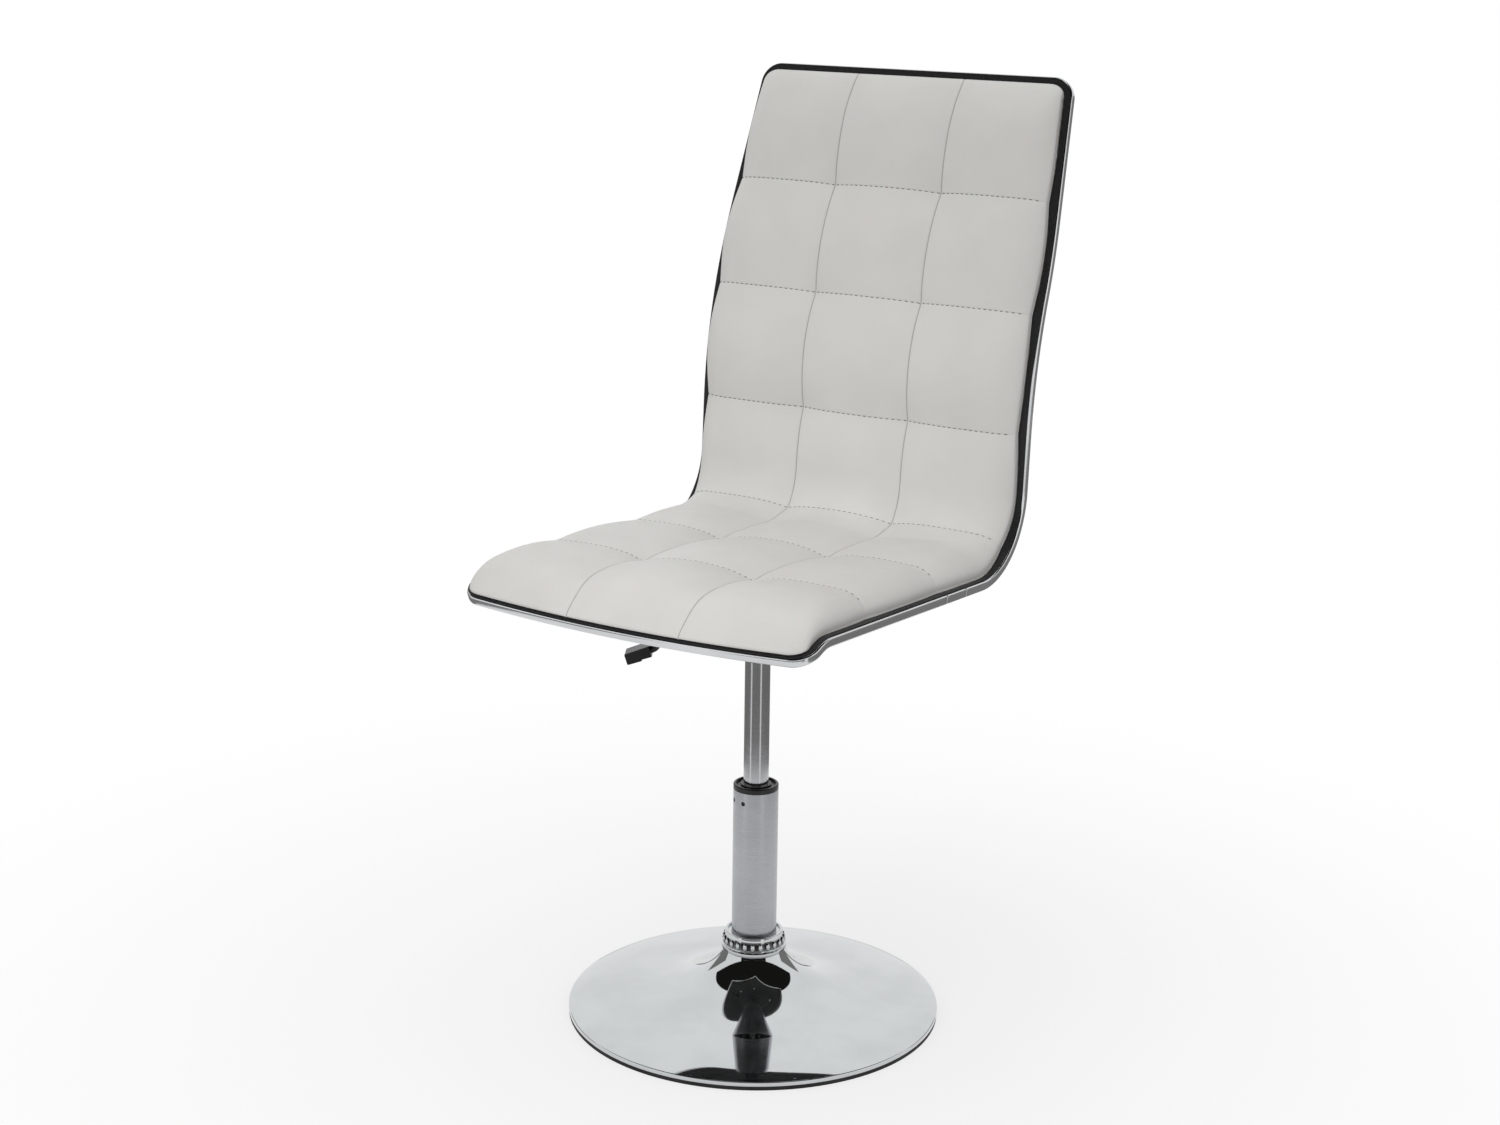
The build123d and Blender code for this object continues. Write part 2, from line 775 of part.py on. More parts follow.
def pad_trimmer(plane, outline, low, high):
    """Return the block outside an outline, which trims a pad's free end to the shell's edge."""
    with BuildPart() as block:
        with BuildSketch(plane.offset(-pad_cut_reach)):
            with Locations((0, (low + high) / 2)):
                Rectangle(2 * shell_half_width + pad_cut_reach, high - low)
            add(outline, mode=Mode.SUBTRACT)
        extrude(amount=2 * pad_cut_reach)
    return block.part


front_trimmer = pad_trimmer(profile_plane(0), lip_outline(pad_inset), -pad_cut_reach, lip_flat)
top_trimmer = pad_trimmer(
    profile_plane(upper_start), upper_outline(pad_inset), 0, upper_back_flat + pad_cut_reach
)
rear_seam = front_row + middle_row
pad_split = bend_middle - soft_gap / 2
pad_restart = bend_middle + soft_gap / 2

with BuildPart() as seat_pad:
    add(pad_row(0, front_row, seat_tuft_height, seat_row_crown, roll_in=front_roll))
    add(pad_row(front_row, rear_seam, seat_tuft_height, seat_row_crown))
    add(pad_row(rear_seam, pad_split, seat_tuft_height, seat_row_crown))
    add(shell_block, mode=Mode.SUBTRACT)
    add(front_trimmer, mode=Mode.SUBTRACT)
seat_pad.part.label = "seat_pad"
export_step(seat_pad.part, "parts/seat_pad.step")

with BuildPart() as back_pad:
    row_start = pad_restart
    row_end = bend_middle
    for row_length in back_rows:
        row_end += row_length
        add(pad_row(row_start, row_end, back_tuft_height, back_row_crown))
        row_start = row_end
    add(pad_row(row_start, shell_end, back_tuft_height, back_row_crown, roll_out=top_roll))
    add(shell_block, mode=Mode.SUBTRACT)
    add(top_trimmer, mode=Mode.SUBTRACT)
back_pad.part.label = "back_pad"
export_step(back_pad.part, "parts/back_pad.step")

# Bent plywood shell with a counterbored hole for each tee nut
seat_plane = profile_plane(axis_distance)
with BuildPart() as seat_shell:
    add(shell_layer(0, shell_end, 0, -shell_thickness, 0))
    with Locations(seat_plane):
        with GridLocations(bolt_spacing_x, bolt_spacing_y, 2, 2):
            CounterBoreHole(
                radius=tee_nut_barrel + seat_gap,
                counter_bore_radius=tee_nut_radius + seat_gap,
                counter_bore_depth=tee_nut_flange + seat_gap,
                depth=2 * shell_thickness,
            )
seat_shell.part.label = "seat_shell"
export_step(seat_shell.part, "parts/seat_shell.step")

# Metal edge trim in two bent halves, joined on each side of the seat
trim_bar = trim_section()
joint_start = seat_distance(trim_joint_start_y)
joint_end = joint_start + trim_joint_length
with BuildPart() as trim_seat:
    add(rim_run(lip_path, profile_normal(0), trim_bar))
    for side in (-1, 1):
        run_path = side_path(lip_end, joint_start - trim_joint_gap, side)
        add(rim_run(run_path, profile_normal(lip_end), trim_bar))
trim_seat.part.label = "trim_seat"
export_step(trim_seat.part, "parts/trim_seat.step")

with BuildPart() as trim_joints:
    for side in (-1, 1):
        add(rim_run(side_path(joint_start, joint_end, side), profile_normal(joint_start), trim_bar))
trim_joints.part.label = "trim_joints"
export_step(trim_joints.part, "parts/trim_joints.step")

with BuildPart() as trim_back:
    add(rim_run(top_path, profile_normal(upper_start), trim_bar))
    for side in (-1, 1):
        run_path = side_path(joint_end + trim_joint_gap, upper_start, side)
        add(rim_run(run_path, profile_normal(joint_end), trim_bar))
trim_back.part.label = "trim_back"
export_step(trim_back.part, "parts/trim_back.step")

# Black piping all round, between the pads and the trim
piping_cord = piping_section()
with BuildPart() as edge_piping:
    add(rim_run(lip_path, profile_normal(0), piping_cord))
    add(rim_run(top_path, profile_normal(upper_start), piping_cord))
    for side in (-1, 1):
        add(rim_run(side_path(lip_end, upper_start, side), profile_normal(lip_end), piping_cord))
edge_piping.part.label = "edge_piping"
export_step(edge_piping.part, "parts/edge_piping.step")

# Rear skins: one under the seat and one behind the back
cover_top = -shell_thickness - seat_gap
cover_bottom = cover_top - cover_thickness
with BuildPart() as underside_cover:
    add(shell_layer(0, bend_middle - cover_split_gap / 2, cover_top, cover_bottom, cover_inset))
    with Locations(seat_plane):
        with GridLocations(bolt_spacing_x, bolt_spacing_y, 2, 2):
            Hole(bolt_radius + hole_clearance, depth=2 * shell_thickness)
underside_cover.part.label = "underside_cover"
export_step(underside_cover.part, "parts/underside_cover.step")

with BuildPart() as back_cover:
    add(shell_layer(bend_middle + cover_split_gap / 2, shell_end, cover_top, cover_bottom, cover_inset))
back_cover.part.label = "back_cover"
export_step(back_cover.part, "parts/back_cover.step")

# Tee nuts, bolts and washers that hold the mounting plate to the shell
plate_bottom = cover_bottom - plate_thickness
washer_bottom = plate_bottom - bolt_washer_thickness
upper_end = (Align.CENTER, Align.CENTER, Align.MAX)
with BuildPart() as tee_nuts:
    with Locations(seat_plane.offset(-seat_gap)):
        with GridLocations(bolt_spacing_x, bolt_spacing_y, 2, 2):
            Cylinder(tee_nut_radius, tee_nut_flange, align=upper_end)
            Cylinder(tee_nut_barrel, tee_nut_length, align=upper_end)
            Cylinder(bolt_radius + running_clearance, tee_nut_length, align=upper_end, mode=Mode.SUBTRACT)
tee_nuts.part.label = "tee_nuts"
export_step(tee_nuts.part, "parts/tee_nuts.step")

with BuildPart() as plate_washers:
    with Locations(seat_plane.offset(plate_bottom)):
        with GridLocations(bolt_spacing_x, bolt_spacing_y, 2, 2):
            Cylinder(washer_outer_radius, bolt_washer_thickness, align=upper_end)
            Cylinder(bolt_radius + hole_clearance, bolt_washer_thickness, align=upper_end, mode=Mode.SUBTRACT)
plate_washers.part.label = "plate_washers"
export_step(plate_washers.part, "parts/plate_washers.step")

with BuildPart() as plate_bolts:
    bolt_top = thread_engagement - tee_nut_length - seat_gap
    with BuildSketch(seat_plane.offset(washer_bottom)):
        with GridLocations(bolt_spacing_x, bolt_spacing_y, 2, 2):
            RegularPolygon(bolt_head_radius, 6)
    extrude(amount=-bolt_head_height)
    with BuildSketch(seat_plane.offset(washer_bottom)):
        with GridLocations(bolt_spacing_x, bolt_spacing_y, 2, 2):
            Circle(bolt_radius)
    extrude(amount=bolt_top - washer_bottom)
plate_bolts.part.label = "plate_bolts"
export_step(plate_bolts.part, "parts/plate_bolts.step")

# Mounting plate, flat against the raked underside
with BuildPart() as mounting_plate:
    with BuildSketch(seat_plane.offset(cover_bottom)):
        RectangleRounded(plate_width, plate_depth, plate_corner)
        with GridLocations(bolt_spacing_x, bolt_spacing_y, 2, 2):
            Circle(bolt_radius + hole_clearance, mode=Mode.SUBTRACT)
    extrude(amount=-plate_thickness)
mounting_plate.part.label = "mounting_plate"
export_step(mounting_plate.part, "parts/mounting_plate.step")

# Lever frame: local x runs out along the lever, local y is up and local z is the pivot's axis
lever_angle = math.radians(lever_heading)
lever_plane = Plane(
    origin=(0, 0, lever_height),
    x_dir=(math.cos(lever_angle), math.sin(lever_angle), 0),
    z_dir=(math.sin(lever_angle), -math.cos(lever_angle), 0),
)
under_plate = seat_plane.offset(plate_bottom)
plate_underside = under_plate.origin.Z

# Pressed pan under the plate, with a hole for the cone and a slot for the lever
with BuildPart() as mechanism_pan:
    with BuildSketch(Plane.XY.offset(pan_bottom)):
        RectangleRounded(pan_width, pan_depth, pan_corner)
    extrude(amount=2 * (plate_underside - pan_bottom))
    fillet(mechanism_pan.edges().group_by(Axis.Z)[0], pan_fillet)
    offset(amount=-pan_wall, openings=mechanism_pan.faces().sort_by(Axis.Z)[-1])
    split(bisect_by=under_plate, keep=Keep.BOTTOM)
    with BuildSketch(Plane.XY.offset(pan_bottom)):
        Circle(cone_radius + seat_gap)
    extrude(amount=2 * pan_fillet, mode=Mode.SUBTRACT)
    slot_low = -lever_rod_radius - lever_slot_margin
    slot_reach = lever_exit_reach - lever_pivot_reach
    slot_high = -slot_low + slot_reach * math.sin(math.radians(lever_lift))
    with BuildSketch(lever_plane):
        with Locations((lever_exit_reach, (slot_low + slot_high) / 2)):
            Rectangle(lever_exit_reach, slot_high - slot_low)
    extrude(amount=lever_rod_radius + lever_slot_margin, both=True, mode=Mode.SUBTRACT)
mechanism_pan.part.label = "mechanism_pan"
export_step(mechanism_pan.part, "parts/mechanism_pan.step")

# Cone socket that grips the cylinder's tapered head
with BuildPart() as cone_socket:
    with BuildSketch(Plane.XZ):
        with BuildLine():
            Polyline(
                (lift_radius + running_clearance, taper_start),
                (cone_radius, taper_start),
                (cone_radius, lift_top),
                (taper_radius + running_clearance, lift_top),
                close=True,
            )
        make_face()
    revolve(axis=Axis.Z)
cone_socket.part.label = "cone_socket"
export_step(cone_socket.part, "parts/cone_socket.step")

# Bracket with two ears for the lever's pivot
with BuildPart() as pivot_bracket:
    ear_low = -lever_boss_radius - bracket_margin
    ear_gap = lever_boss_width / 2 + seat_gap
    web_low = plate_underside - lever_height - 2 * bracket_wall
    with BuildSketch(lever_plane):
        with Locations((lever_pivot_reach, ear_low)):
            Rectangle(bracket_width, 2 * (plate_underside - lever_height), align=(Align.CENTER, Align.MIN))
    extrude(amount=ear_gap + bracket_wall, both=True)
    with BuildSketch(lever_plane):
        with Locations((lever_pivot_reach, ear_low)):
            Rectangle(bracket_width, web_low - ear_low, align=(Align.CENTER, Align.MIN))
    extrude(amount=ear_gap, both=True, mode=Mode.SUBTRACT)
    with BuildSketch(lever_plane):
        with Locations((lever_pivot_reach, 0)):
            Circle(lever_pin_radius + running_clearance)
    extrude(amount=ear_gap + bracket_wall, both=True, mode=Mode.SUBTRACT)
    split(bisect_by=under_plate, keep=Keep.BOTTOM)
pivot_bracket.part.label = "pivot_bracket"
export_step(pivot_bracket.part, "parts/pivot_bracket.step")

with BuildPart() as lever_pivot_pin:
    pin_half = ear_gap + bracket_wall + seat_gap
    with BuildSketch(lever_plane):
        with Locations((lever_pivot_reach, 0)):
            Circle(lever_pin_radius)
    extrude(amount=pin_half, both=True)
    for end in (-1, 1):
        with BuildSketch(lever_plane.offset(end * pin_half)):
            with Locations((lever_pivot_reach, 0)):
                Circle(lever_pin_head)
        extrude(amount=end * lever_pin_head_height)
lever_pivot_pin.part.label = "lever_pivot_pin"
export_step(lever_pivot_pin.part, "parts/lever_pivot_pin.step")

# Lever: a bent rod with a boss on the pivot and a flat finger over the valve pin
with BuildPart() as lever_rod:
    with BuildLine(lever_plane) as rod_path:
        FilletPolyline(
            (lever_finger_length, 0),
            (lever_exit_reach, 0),
            (lever_drop_reach, -lever_drop),
            (lever_tip_reach, -lever_tip_drop),
            radius=lever_bend_radius,
        )
    with BuildSketch(Plane(origin=rod_path.wire() @ 0, z_dir=lever_plane.x_dir)):
        Circle(lever_rod_radius)
    sweep(path=rod_path.wire())
    with BuildSketch(lever_plane):
        with Locations((lever_finger_length / 2, 0)):
            SlotCenterToCenter(lever_finger_length, 2 * lever_finger_radius)
    extrude(amount=lever_finger_width / 2, both=True)
    with BuildSketch(lever_plane):
        with Locations((lever_pivot_reach, 0)):
            Circle(lever_boss_radius)
    extrude(amount=lever_boss_width / 2, both=True)
    with BuildSketch(lever_plane):
        with Locations((lever_pivot_reach, 0)):
            Circle(lever_pin_radius + running_clearance)
    extrude(amount=lever_boss_width, both=True, mode=Mode.SUBTRACT)
lever_rod.part.label = "lever_rod"
export_step(lever_rod.part, "parts/lever_rod.step")

# Lever handle: a stepped paddle pushed onto the end of the rod
tip_run = math.hypot(lever_tip_reach - lever_drop_reach, lever_tip_drop - lever_drop)
tip_angle = math.atan2(lever_drop - lever_tip_drop, lever_tip_reach - lever_drop_reach)
handle_corner = Location((lever_drop_reach, -lever_drop, 0), (0, 0, math.degrees(tip_angle)))
handle_plane = Plane(lever_plane * handle_corner)
with BuildPart() as lever_handle:
    handle_end = tip_run + handle_overhang
    step_place = handle_start + handle_step_start
    with BuildSketch(handle_plane) as handle_outline:
        with BuildLine():
            Polyline(
                (handle_start, handle_half_height),
                (handle_end, handle_half_height - handle_step),
                (handle_end, -handle_half_height),
                (step_place, -handle_half_height),
                (step_place, handle_step - handle_half_height),
                (handle_start, handle_step - handle_half_height),
                close=True,
            )
        make_face()
        fillet(handle_outline.vertices().sort_by(Axis.X)[-2:], handle_round)
    extrude(amount=handle_half_width, both=True)
    with BuildSketch(Plane(origin=handle_plane.origin, z_dir=handle_plane.x_dir)):
        Circle(lever_rod_radius + running_clearance)
    extrude(amount=tip_run + seat_gap, mode=Mode.SUBTRACT)
lever_handle.part.label = "lever_handle"
export_step(lever_handle.part, "parts/lever_handle.step")
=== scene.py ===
"""Looks of a height adjustable swivel chair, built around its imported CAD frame.

Metres, in the frame of the CAD model: the base stands on the floor at the origin, Z is up and the
sitter faces -Y. Every new surface is worked out with numpy on a grid of two parameters.
"""

import json
import math

import bpy
import numpy as np
from bpy.props import FloatProperty, FloatVectorProperty, IntProperty, PointerProperty
from bpy.types import Operator, Panel, PropertyGroup
from mathutils import Matrix, Vector


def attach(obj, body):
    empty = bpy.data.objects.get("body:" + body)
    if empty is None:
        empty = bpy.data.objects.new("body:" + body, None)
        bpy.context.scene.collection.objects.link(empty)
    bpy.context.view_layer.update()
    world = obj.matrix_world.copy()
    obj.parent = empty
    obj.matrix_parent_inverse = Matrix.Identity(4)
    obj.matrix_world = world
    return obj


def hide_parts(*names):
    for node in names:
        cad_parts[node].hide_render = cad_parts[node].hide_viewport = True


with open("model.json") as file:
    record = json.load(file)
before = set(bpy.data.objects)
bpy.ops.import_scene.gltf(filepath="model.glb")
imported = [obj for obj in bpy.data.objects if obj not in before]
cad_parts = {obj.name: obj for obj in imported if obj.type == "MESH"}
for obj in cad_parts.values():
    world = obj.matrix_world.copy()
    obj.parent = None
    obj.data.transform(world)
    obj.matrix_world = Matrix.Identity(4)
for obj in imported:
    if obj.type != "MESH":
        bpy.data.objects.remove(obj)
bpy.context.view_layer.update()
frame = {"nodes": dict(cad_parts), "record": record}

bl_info = {
    "name": "Tufted swivel chair",
    "version": (1, 0, 0),
    "blender": (4, 5, 0),
    "location": "3D View > Sidebar > Chair",
    "description": "Builds the looks of a height adjustable swivel chair around its CAD frame",
    "category": "Object",
}

PANELS = 3
ROWS = 7
WHITE = (1.0, 1.0, 1.0, 1.0)
SHARP = 0.0003  # rounding of an edge that counts as sharp


def linear(code):
    """Turn an sRGB hex colour into linear red, green, blue and alpha."""
    channels = np.array([int(code[i:i + 2], 16) for i in (1, 3, 5)]) / 255
    straight = channels / 12.92
    curved = ((channels + 0.055) / 1.055) ** 2.4
    return tuple(float(c) for c in np.where(channels <= 0.04045, straight, curved)) + (1.0,)


def number(name, description, value, unit="NONE", precision=3):
    """A number property, with a unit where one fits."""
    return FloatProperty(name=name, description=description, default=value, unit=unit, precision=precision)


def fraction(name, description, value):
    """A property that is a share of something."""
    return FloatProperty(name=name, description=description, default=value, min=0, max=1, subtype="FACTOR")


def length(name, description, millimetres):
    """A length property whose default is given in millimetres."""
    return number(name, description, millimetres / 1000, "LENGTH", 4)


def angle(name, description, degrees):
    """An angle property whose default is given in degrees."""
    return number(name, description, math.radians(degrees), "ROTATION")


def colour(name, description, code):
    """A colour property whose default is given as an sRGB hex value."""
    return FloatVectorProperty(
        name=name, description=description, default=linear(code), size=4, min=0, max=1, subtype="COLOR"
    )


class ShellSizes(PropertyGroup):
    """Side profile and outline of the bent shell, which the pad and the edging follow."""

    front_reach: length("Front reach", "Front edge ahead of the centre", 252.5)
    front_height: length("Front height", "Height of the front edge's upper face", 507.2)
    lip_slope: angle("Lip slope", "Rise of the profile at the front edge", 22)
    lip_straight: length("Lip straight", "Flat run behind the front edge", 29)
    lip_radius: length("Lip radius", "Bend radius from the lip to the seat", 50)
    lip_turn: angle("Lip turn", "Turn from the lip down to the seat", 25)
    seat_straight: length("Seat run", "Flat run of the seat", 322.4)
    bend_radius: length("Bend radius", "Bend radius between seat and back", 85)
    bend_turn: angle("Bend turn", "Turn from the seat up to the back", 90)
    lower_back: length("Lower back", "Flat run above the bend", 55)
    bow_radius: length("Lumbar radius", "Bend radius of the lumbar bow", 600)
    bow_turn: angle("Lumbar turn", "Turn of the lumbar bow", 15.5)
    upper_back: length("Upper back", "Flat run up to the top edge", 232)
    half_width: length("Half width", "Half of the shell's width", 203)
    front_bow: length("Front bow", "Bow of the front edge", 10)
    corner_radius: length("Corner radius", "Radius of the outline's corners", 16)
    taper_blend: length("Taper blend", "Run over which the sides turn inwards", 80)
    taper_angle: angle("Taper", "Inward turn of the sides of the upper back", 4)


class PadSizes(PropertyGroup):
    """Tufted pad: rows along the profile, three panels across and the rise of each."""

    front_row: length("Front row", "Run of the front row", 134)
    middle_row: length("Middle row", "Run of the second row", 149)
    first_back_row: length("First back row", "Run of the lowest row of the back", 131)
    second_back_row: length("Second back row", "Run of the next row of the back", 129)
    third_back_row: length("Third back row", "Run of the third row of the back", 124)
    panel_half: length("Panel half width", "Half of the middle panel's width", 68)
    seat_tuft: length("Seat tuft", "Height of the seat's seam crossings", 21)
    back_tuft: length("Back tuft", "Height of the back's seam crossings", 12.5)
    tuft_blend: length("Tuft blend", "Run each side of the bend in which the height changes", 45)
    column_crown: length("Column crown", "Rise across the middle panel", 8.5)
    side_crown: length("Side crown", "Rise across a side panel", 7)
    side_peak: fraction("Side peak", "Share of a side panel at which its rise is highest", 0.45)
    side_fall: fraction("Side fall", "Share of a side panel's rise that is lost at its edge", 0.45)
    seat_row_crown: length("Seat row crown", "Rise along a row of the seat", 4.2)
    back_row_crown: length("Back row crown", "Rise along a row of the back", 8)
    edge_height: length("Edge height", "Height of the pad's edge over the shell", 3.6)
    bed_gap: length("Bed gap", "Gap between the pad and the shell", 0.3)
    inset: length("Inset", "Pad edge inside the shell's outline", 0.6)
    draw_in: length("Draw in", "How far the edge is drawn in at a seam", 2.4)
    side_roll: length("Side roll", "Width of the rolled sides", 26)
    front_roll: length("Front roll", "Run of the rolled front", 106)
    top_roll: length("Top roll", "Run of the rolled top", 58)
    bulge: length("Bulge", "How far a panel's side stands out over the welt", 2.6)
    seam_bulge: fraction("Seam bulge", "Share of the bulge that is left at a seam", 0.35)
    front_bulge: length("Front bulge", "How far the front leans out over the welt", 6.5)
    corner_bulge: fraction("Corner bulge", "Share of the front bulge that goes sideways at a corner", 0.3)
    groove_depth: length("Groove depth", "Depth of a sewn seam", 0.9)
    groove_width: length("Groove width", "Half width of a sewn seam", 0.65)
    row_share: fraction("Row share", "A row seam's fold against a column seam's", 0.5)
    pinch_depth: length("Pinch depth", "Dimple at a crossing of seams", 1.6)
    pinch_width: length("Pinch width", "Half width of the dimple", 14)
    swell_limit: length("Swell limit", "Most that the filling may lift the cover", 1.3)
    pressure: number("Filling pressure", "Pressure of the filling in the cloth simulation", 2.5)
    cells: IntProperty(name="Cells", description="Grid cells along one side of a panel", default=40, min=12)
    cloth_cells: IntProperty(name="Cloth cells", description="Cloth cells along a panel", default=22, min=8)


class SewingSizes(PropertyGroup):
    """Stitches along the pad's row seams."""

    pitch: length("Pitch", "From one stitch to the next", 6.8)
    stitch: length("Stitch", "Length of one stitch", 3.4)
    thread: length("Thread", "Radius of the thread", 0.42)
    margin: length("Margin", "Seam left plain at each edge", 4)
    crossing: fraction("Crossing", "Share of a panel left plain at a crossing", 0.02)
    hump: number("Hump", "Rise of a stitch's middle, in thread radii", 0.7)


class EdgeSizes(PropertyGroup):
    """Bright edge trim and the black welt above it."""

    trim_depth: length("Trim depth", "Depth of the trim's section outwards", 8.8)
    trim_height: length("Trim height", "Height of the trim's section", 10.4)
    trim_round: length("Trim rounding", "Rounding of the trim's outer corners", 2.8)
    seat_gap: length("Seat gap", "Gap between the trim and the shell", 0.1)
    soft_gap: length("Soft gap", "Gap between the welt and the shell", 0.3)
    joint_start: length("Joint start", "Run along the profile where the sleeve starts", 289.2)
    joint_length: length("Joint length", "Length of the sleeve", 43)
    joint_gap: length("Joint gap", "Open joint at each end of the sleeve", 0.45)
    welt_width: length("Welt width", "Width of the flat black welt", 7)
    welt_height: length("Welt height", "Height of the flat black welt", 1.2)
    welt_round: fraction("Welt rounding", "Rounding of the welt's edge, as a share of its height", 0.48)
    welt_tail: length("Welt tail", "Flat tail of the welt under the pad's edge", 4.5)
    tail_height: length("Tail height", "Upper face of the tail over the shell", 0.24)
    tail_round: length("Tail rounding", "Rounding of the tail's edges", 0.04)


class PedestalSizes(PropertyGroup):
    """Turned pieces of the base."""

    rim_bottom: length("Rim bottom", "Height of the turned-down rim's lower edge", 4.6)
    dish_wall: length("Wall", "Thickness of the dish", 2)
    neck_radius: length("Neck radius", "Radius at the top of the neck", 34)
    neck_height: length("Neck height", "Height of the neck's top", 74)
    neck_slope: angle("Neck slope", "Slope at the top of the neck", 65.1)
    neck_blend: length("Neck blend", "Radius of the neck's flare", 70.9)
    flare_slope: angle("Flare slope", "Slope where the flare widens", 30.6)
    flare_blend: length("Flare blend", "Radius of the wider flare", 146.7)
    dish_slope: angle("Dish slope", "Least slope of the dish", 4.4)
    dish_dome: length("Dish dome", "Radius of the dish's dome", 585.7)
    edge_slope: angle("Edge slope", "Slope where the dome turns to the rim", 10.4)
    edge_dome: length("Edge dome", "Radius of the dome at the rim", 118)
    rim_slope: angle("Rim slope", "Slope of the dish at the rim", 20.6)
    rim_round: length("Rim rounding", "Rounding of the rim's upper edge", 1.6)
    flange_radius: length("Flange radius", "Inner radius of the neck's flange", 29.15)
    collar_gap: length("Collar gap", "Gap between the collar and the neck", 0.1)
    collar_bore: length("Collar bore", "Inner radius of the collar", 25.1)
    collar_foot: length("Collar foot", "Radius of the collar's lower lip", 36.5)
    collar_band: length("Collar band", "Radius of the band under the beads", 33.6)
    collar_lip: length("Collar lip", "Radius of the collar's upper lip", 32.4)
    collar_height: length("Collar height", "Height of the collar", 21)
    bead_depth: length("Bead depth", "How far a bead stands out", 2.2)
    bead_radius: length("Bead radius", "Half width of one oval bead", 2.6)
    bead_length: length("Bead length", "Height of one oval bead", 9.4)
    bead_sink: length("Bead sink", "How far a bead's middle lies inside the band", 0.2)
    shade_depth: length("Shade depth", "Height over the band at which the shade between beads ends", 0.9)
    beads: IntProperty(name="Beads", description="Oval beads round the collar", default=24, min=6)
    turns: IntProperty(name="Turns", description="Grid cells round a turned piece", default=192, min=24)


class ChairColours(PropertyGroup):
    """Colours of the finishes, as sRGB values."""

    pad: colour("Pad", "Coated fabric of the pad", "#D0CFCC")
    pad_shade: colour("Pad shade", "Darker clouds in the coated fabric", "#CDCCC9")
    # Painted shade: a darker colour laid along the pad's column seams stands for the shade in their creases
    seam: colour("Seam", "Coated fabric folded into a seam", "#969590")
    thread: colour("Thread", "Sewing thread", "#5F5E5A")
    black_cover: colour("Black cover", "Coated fabric of the welt and the rear covers", "#151516")
    black_cover_worn: colour("Black cover worn", "Lighter grain of the black cover", "#212122")
    trim: colour("Trim", "Polished aluminium", "#D6D7D9")
    chrome: colour("Chrome", "Mirror chrome", "#CDD0D1")
    # Painted shade: a dark chrome laid in the hollows between the collar's beads
    bead_gap_shade: colour("Recess", "Shaded chrome between the collar's beads", "#242322")
    satin: colour("Satin chrome", "Satin chrome of the column", "#B4B5B9")
    steel: colour("Ground steel", "Ground steel of the gas lift", "#C2C3C6")
    zinc: colour("Zinc", "Zinc plated fasteners", "#B9BBB8")
    plastic: colour("Plastic", "Black moulded plastic", "#101011")
    paint: colour("Paint", "Black painted steel", "#131314")
    rubber: colour("Rubber", "Black rubber", "#0F0F10")
    plywood: colour("Plywood", "Light face of the plywood", "#CDA777")
    plywood_dark: colour("Plywood dark", "Dark lines of the plywood", "#A67C4E")
    floor: colour("Floor", "Plain pale floor", "#F6F6F6")
    # Painted reflections: glowing cards that only reflections see stand for a dark studio round the chair
    dark_card: colour("Dark card", "Studio cards high in front of the chair", "#1C1B1A")
    grey_card: colour("Grey card", "Studio cards low beside the chair and on the floor", "#868584")


class StageSizes(PropertyGroup):
    """Camera, lamps and floor."""

    azimuth: angle("Azimuth", "Camera's bearing from the front, towards the sitter's left", 31.9079)
    distance: length("Distance", "Camera's distance over the floor", 2580.255)
    height: length("Height", "Camera's height", 1206.641)
    pitch: angle("Pitch", "Downward tilt of the camera", 14.91740)
    yaw: angle("Yaw", "Sideways turn of the camera", 0.221122)
    roll: angle("Roll", "Roll of the camera", 0.771150)
    lens: number("Lens", "Focal length in millimetres on a 36 mm sensor", 59.4276, "CAMERA")
    ambient: number("Ambient", "World light that falls on the object", 0.66)
    key_power: number("Key power", "Power of the lamp overhead", 26.5, "POWER")
    key_size: length("Key size", "Side of the lamp overhead", 2400)
    spot_power: number("Spot power", "Power of the low spot lamp", 79.0, "POWER")
    spot_size: length("Spot size", "Radius of the low spot lamp", 300)
    spot_angle: angle("Spot angle", "Opening of the low spot lamp", 20)
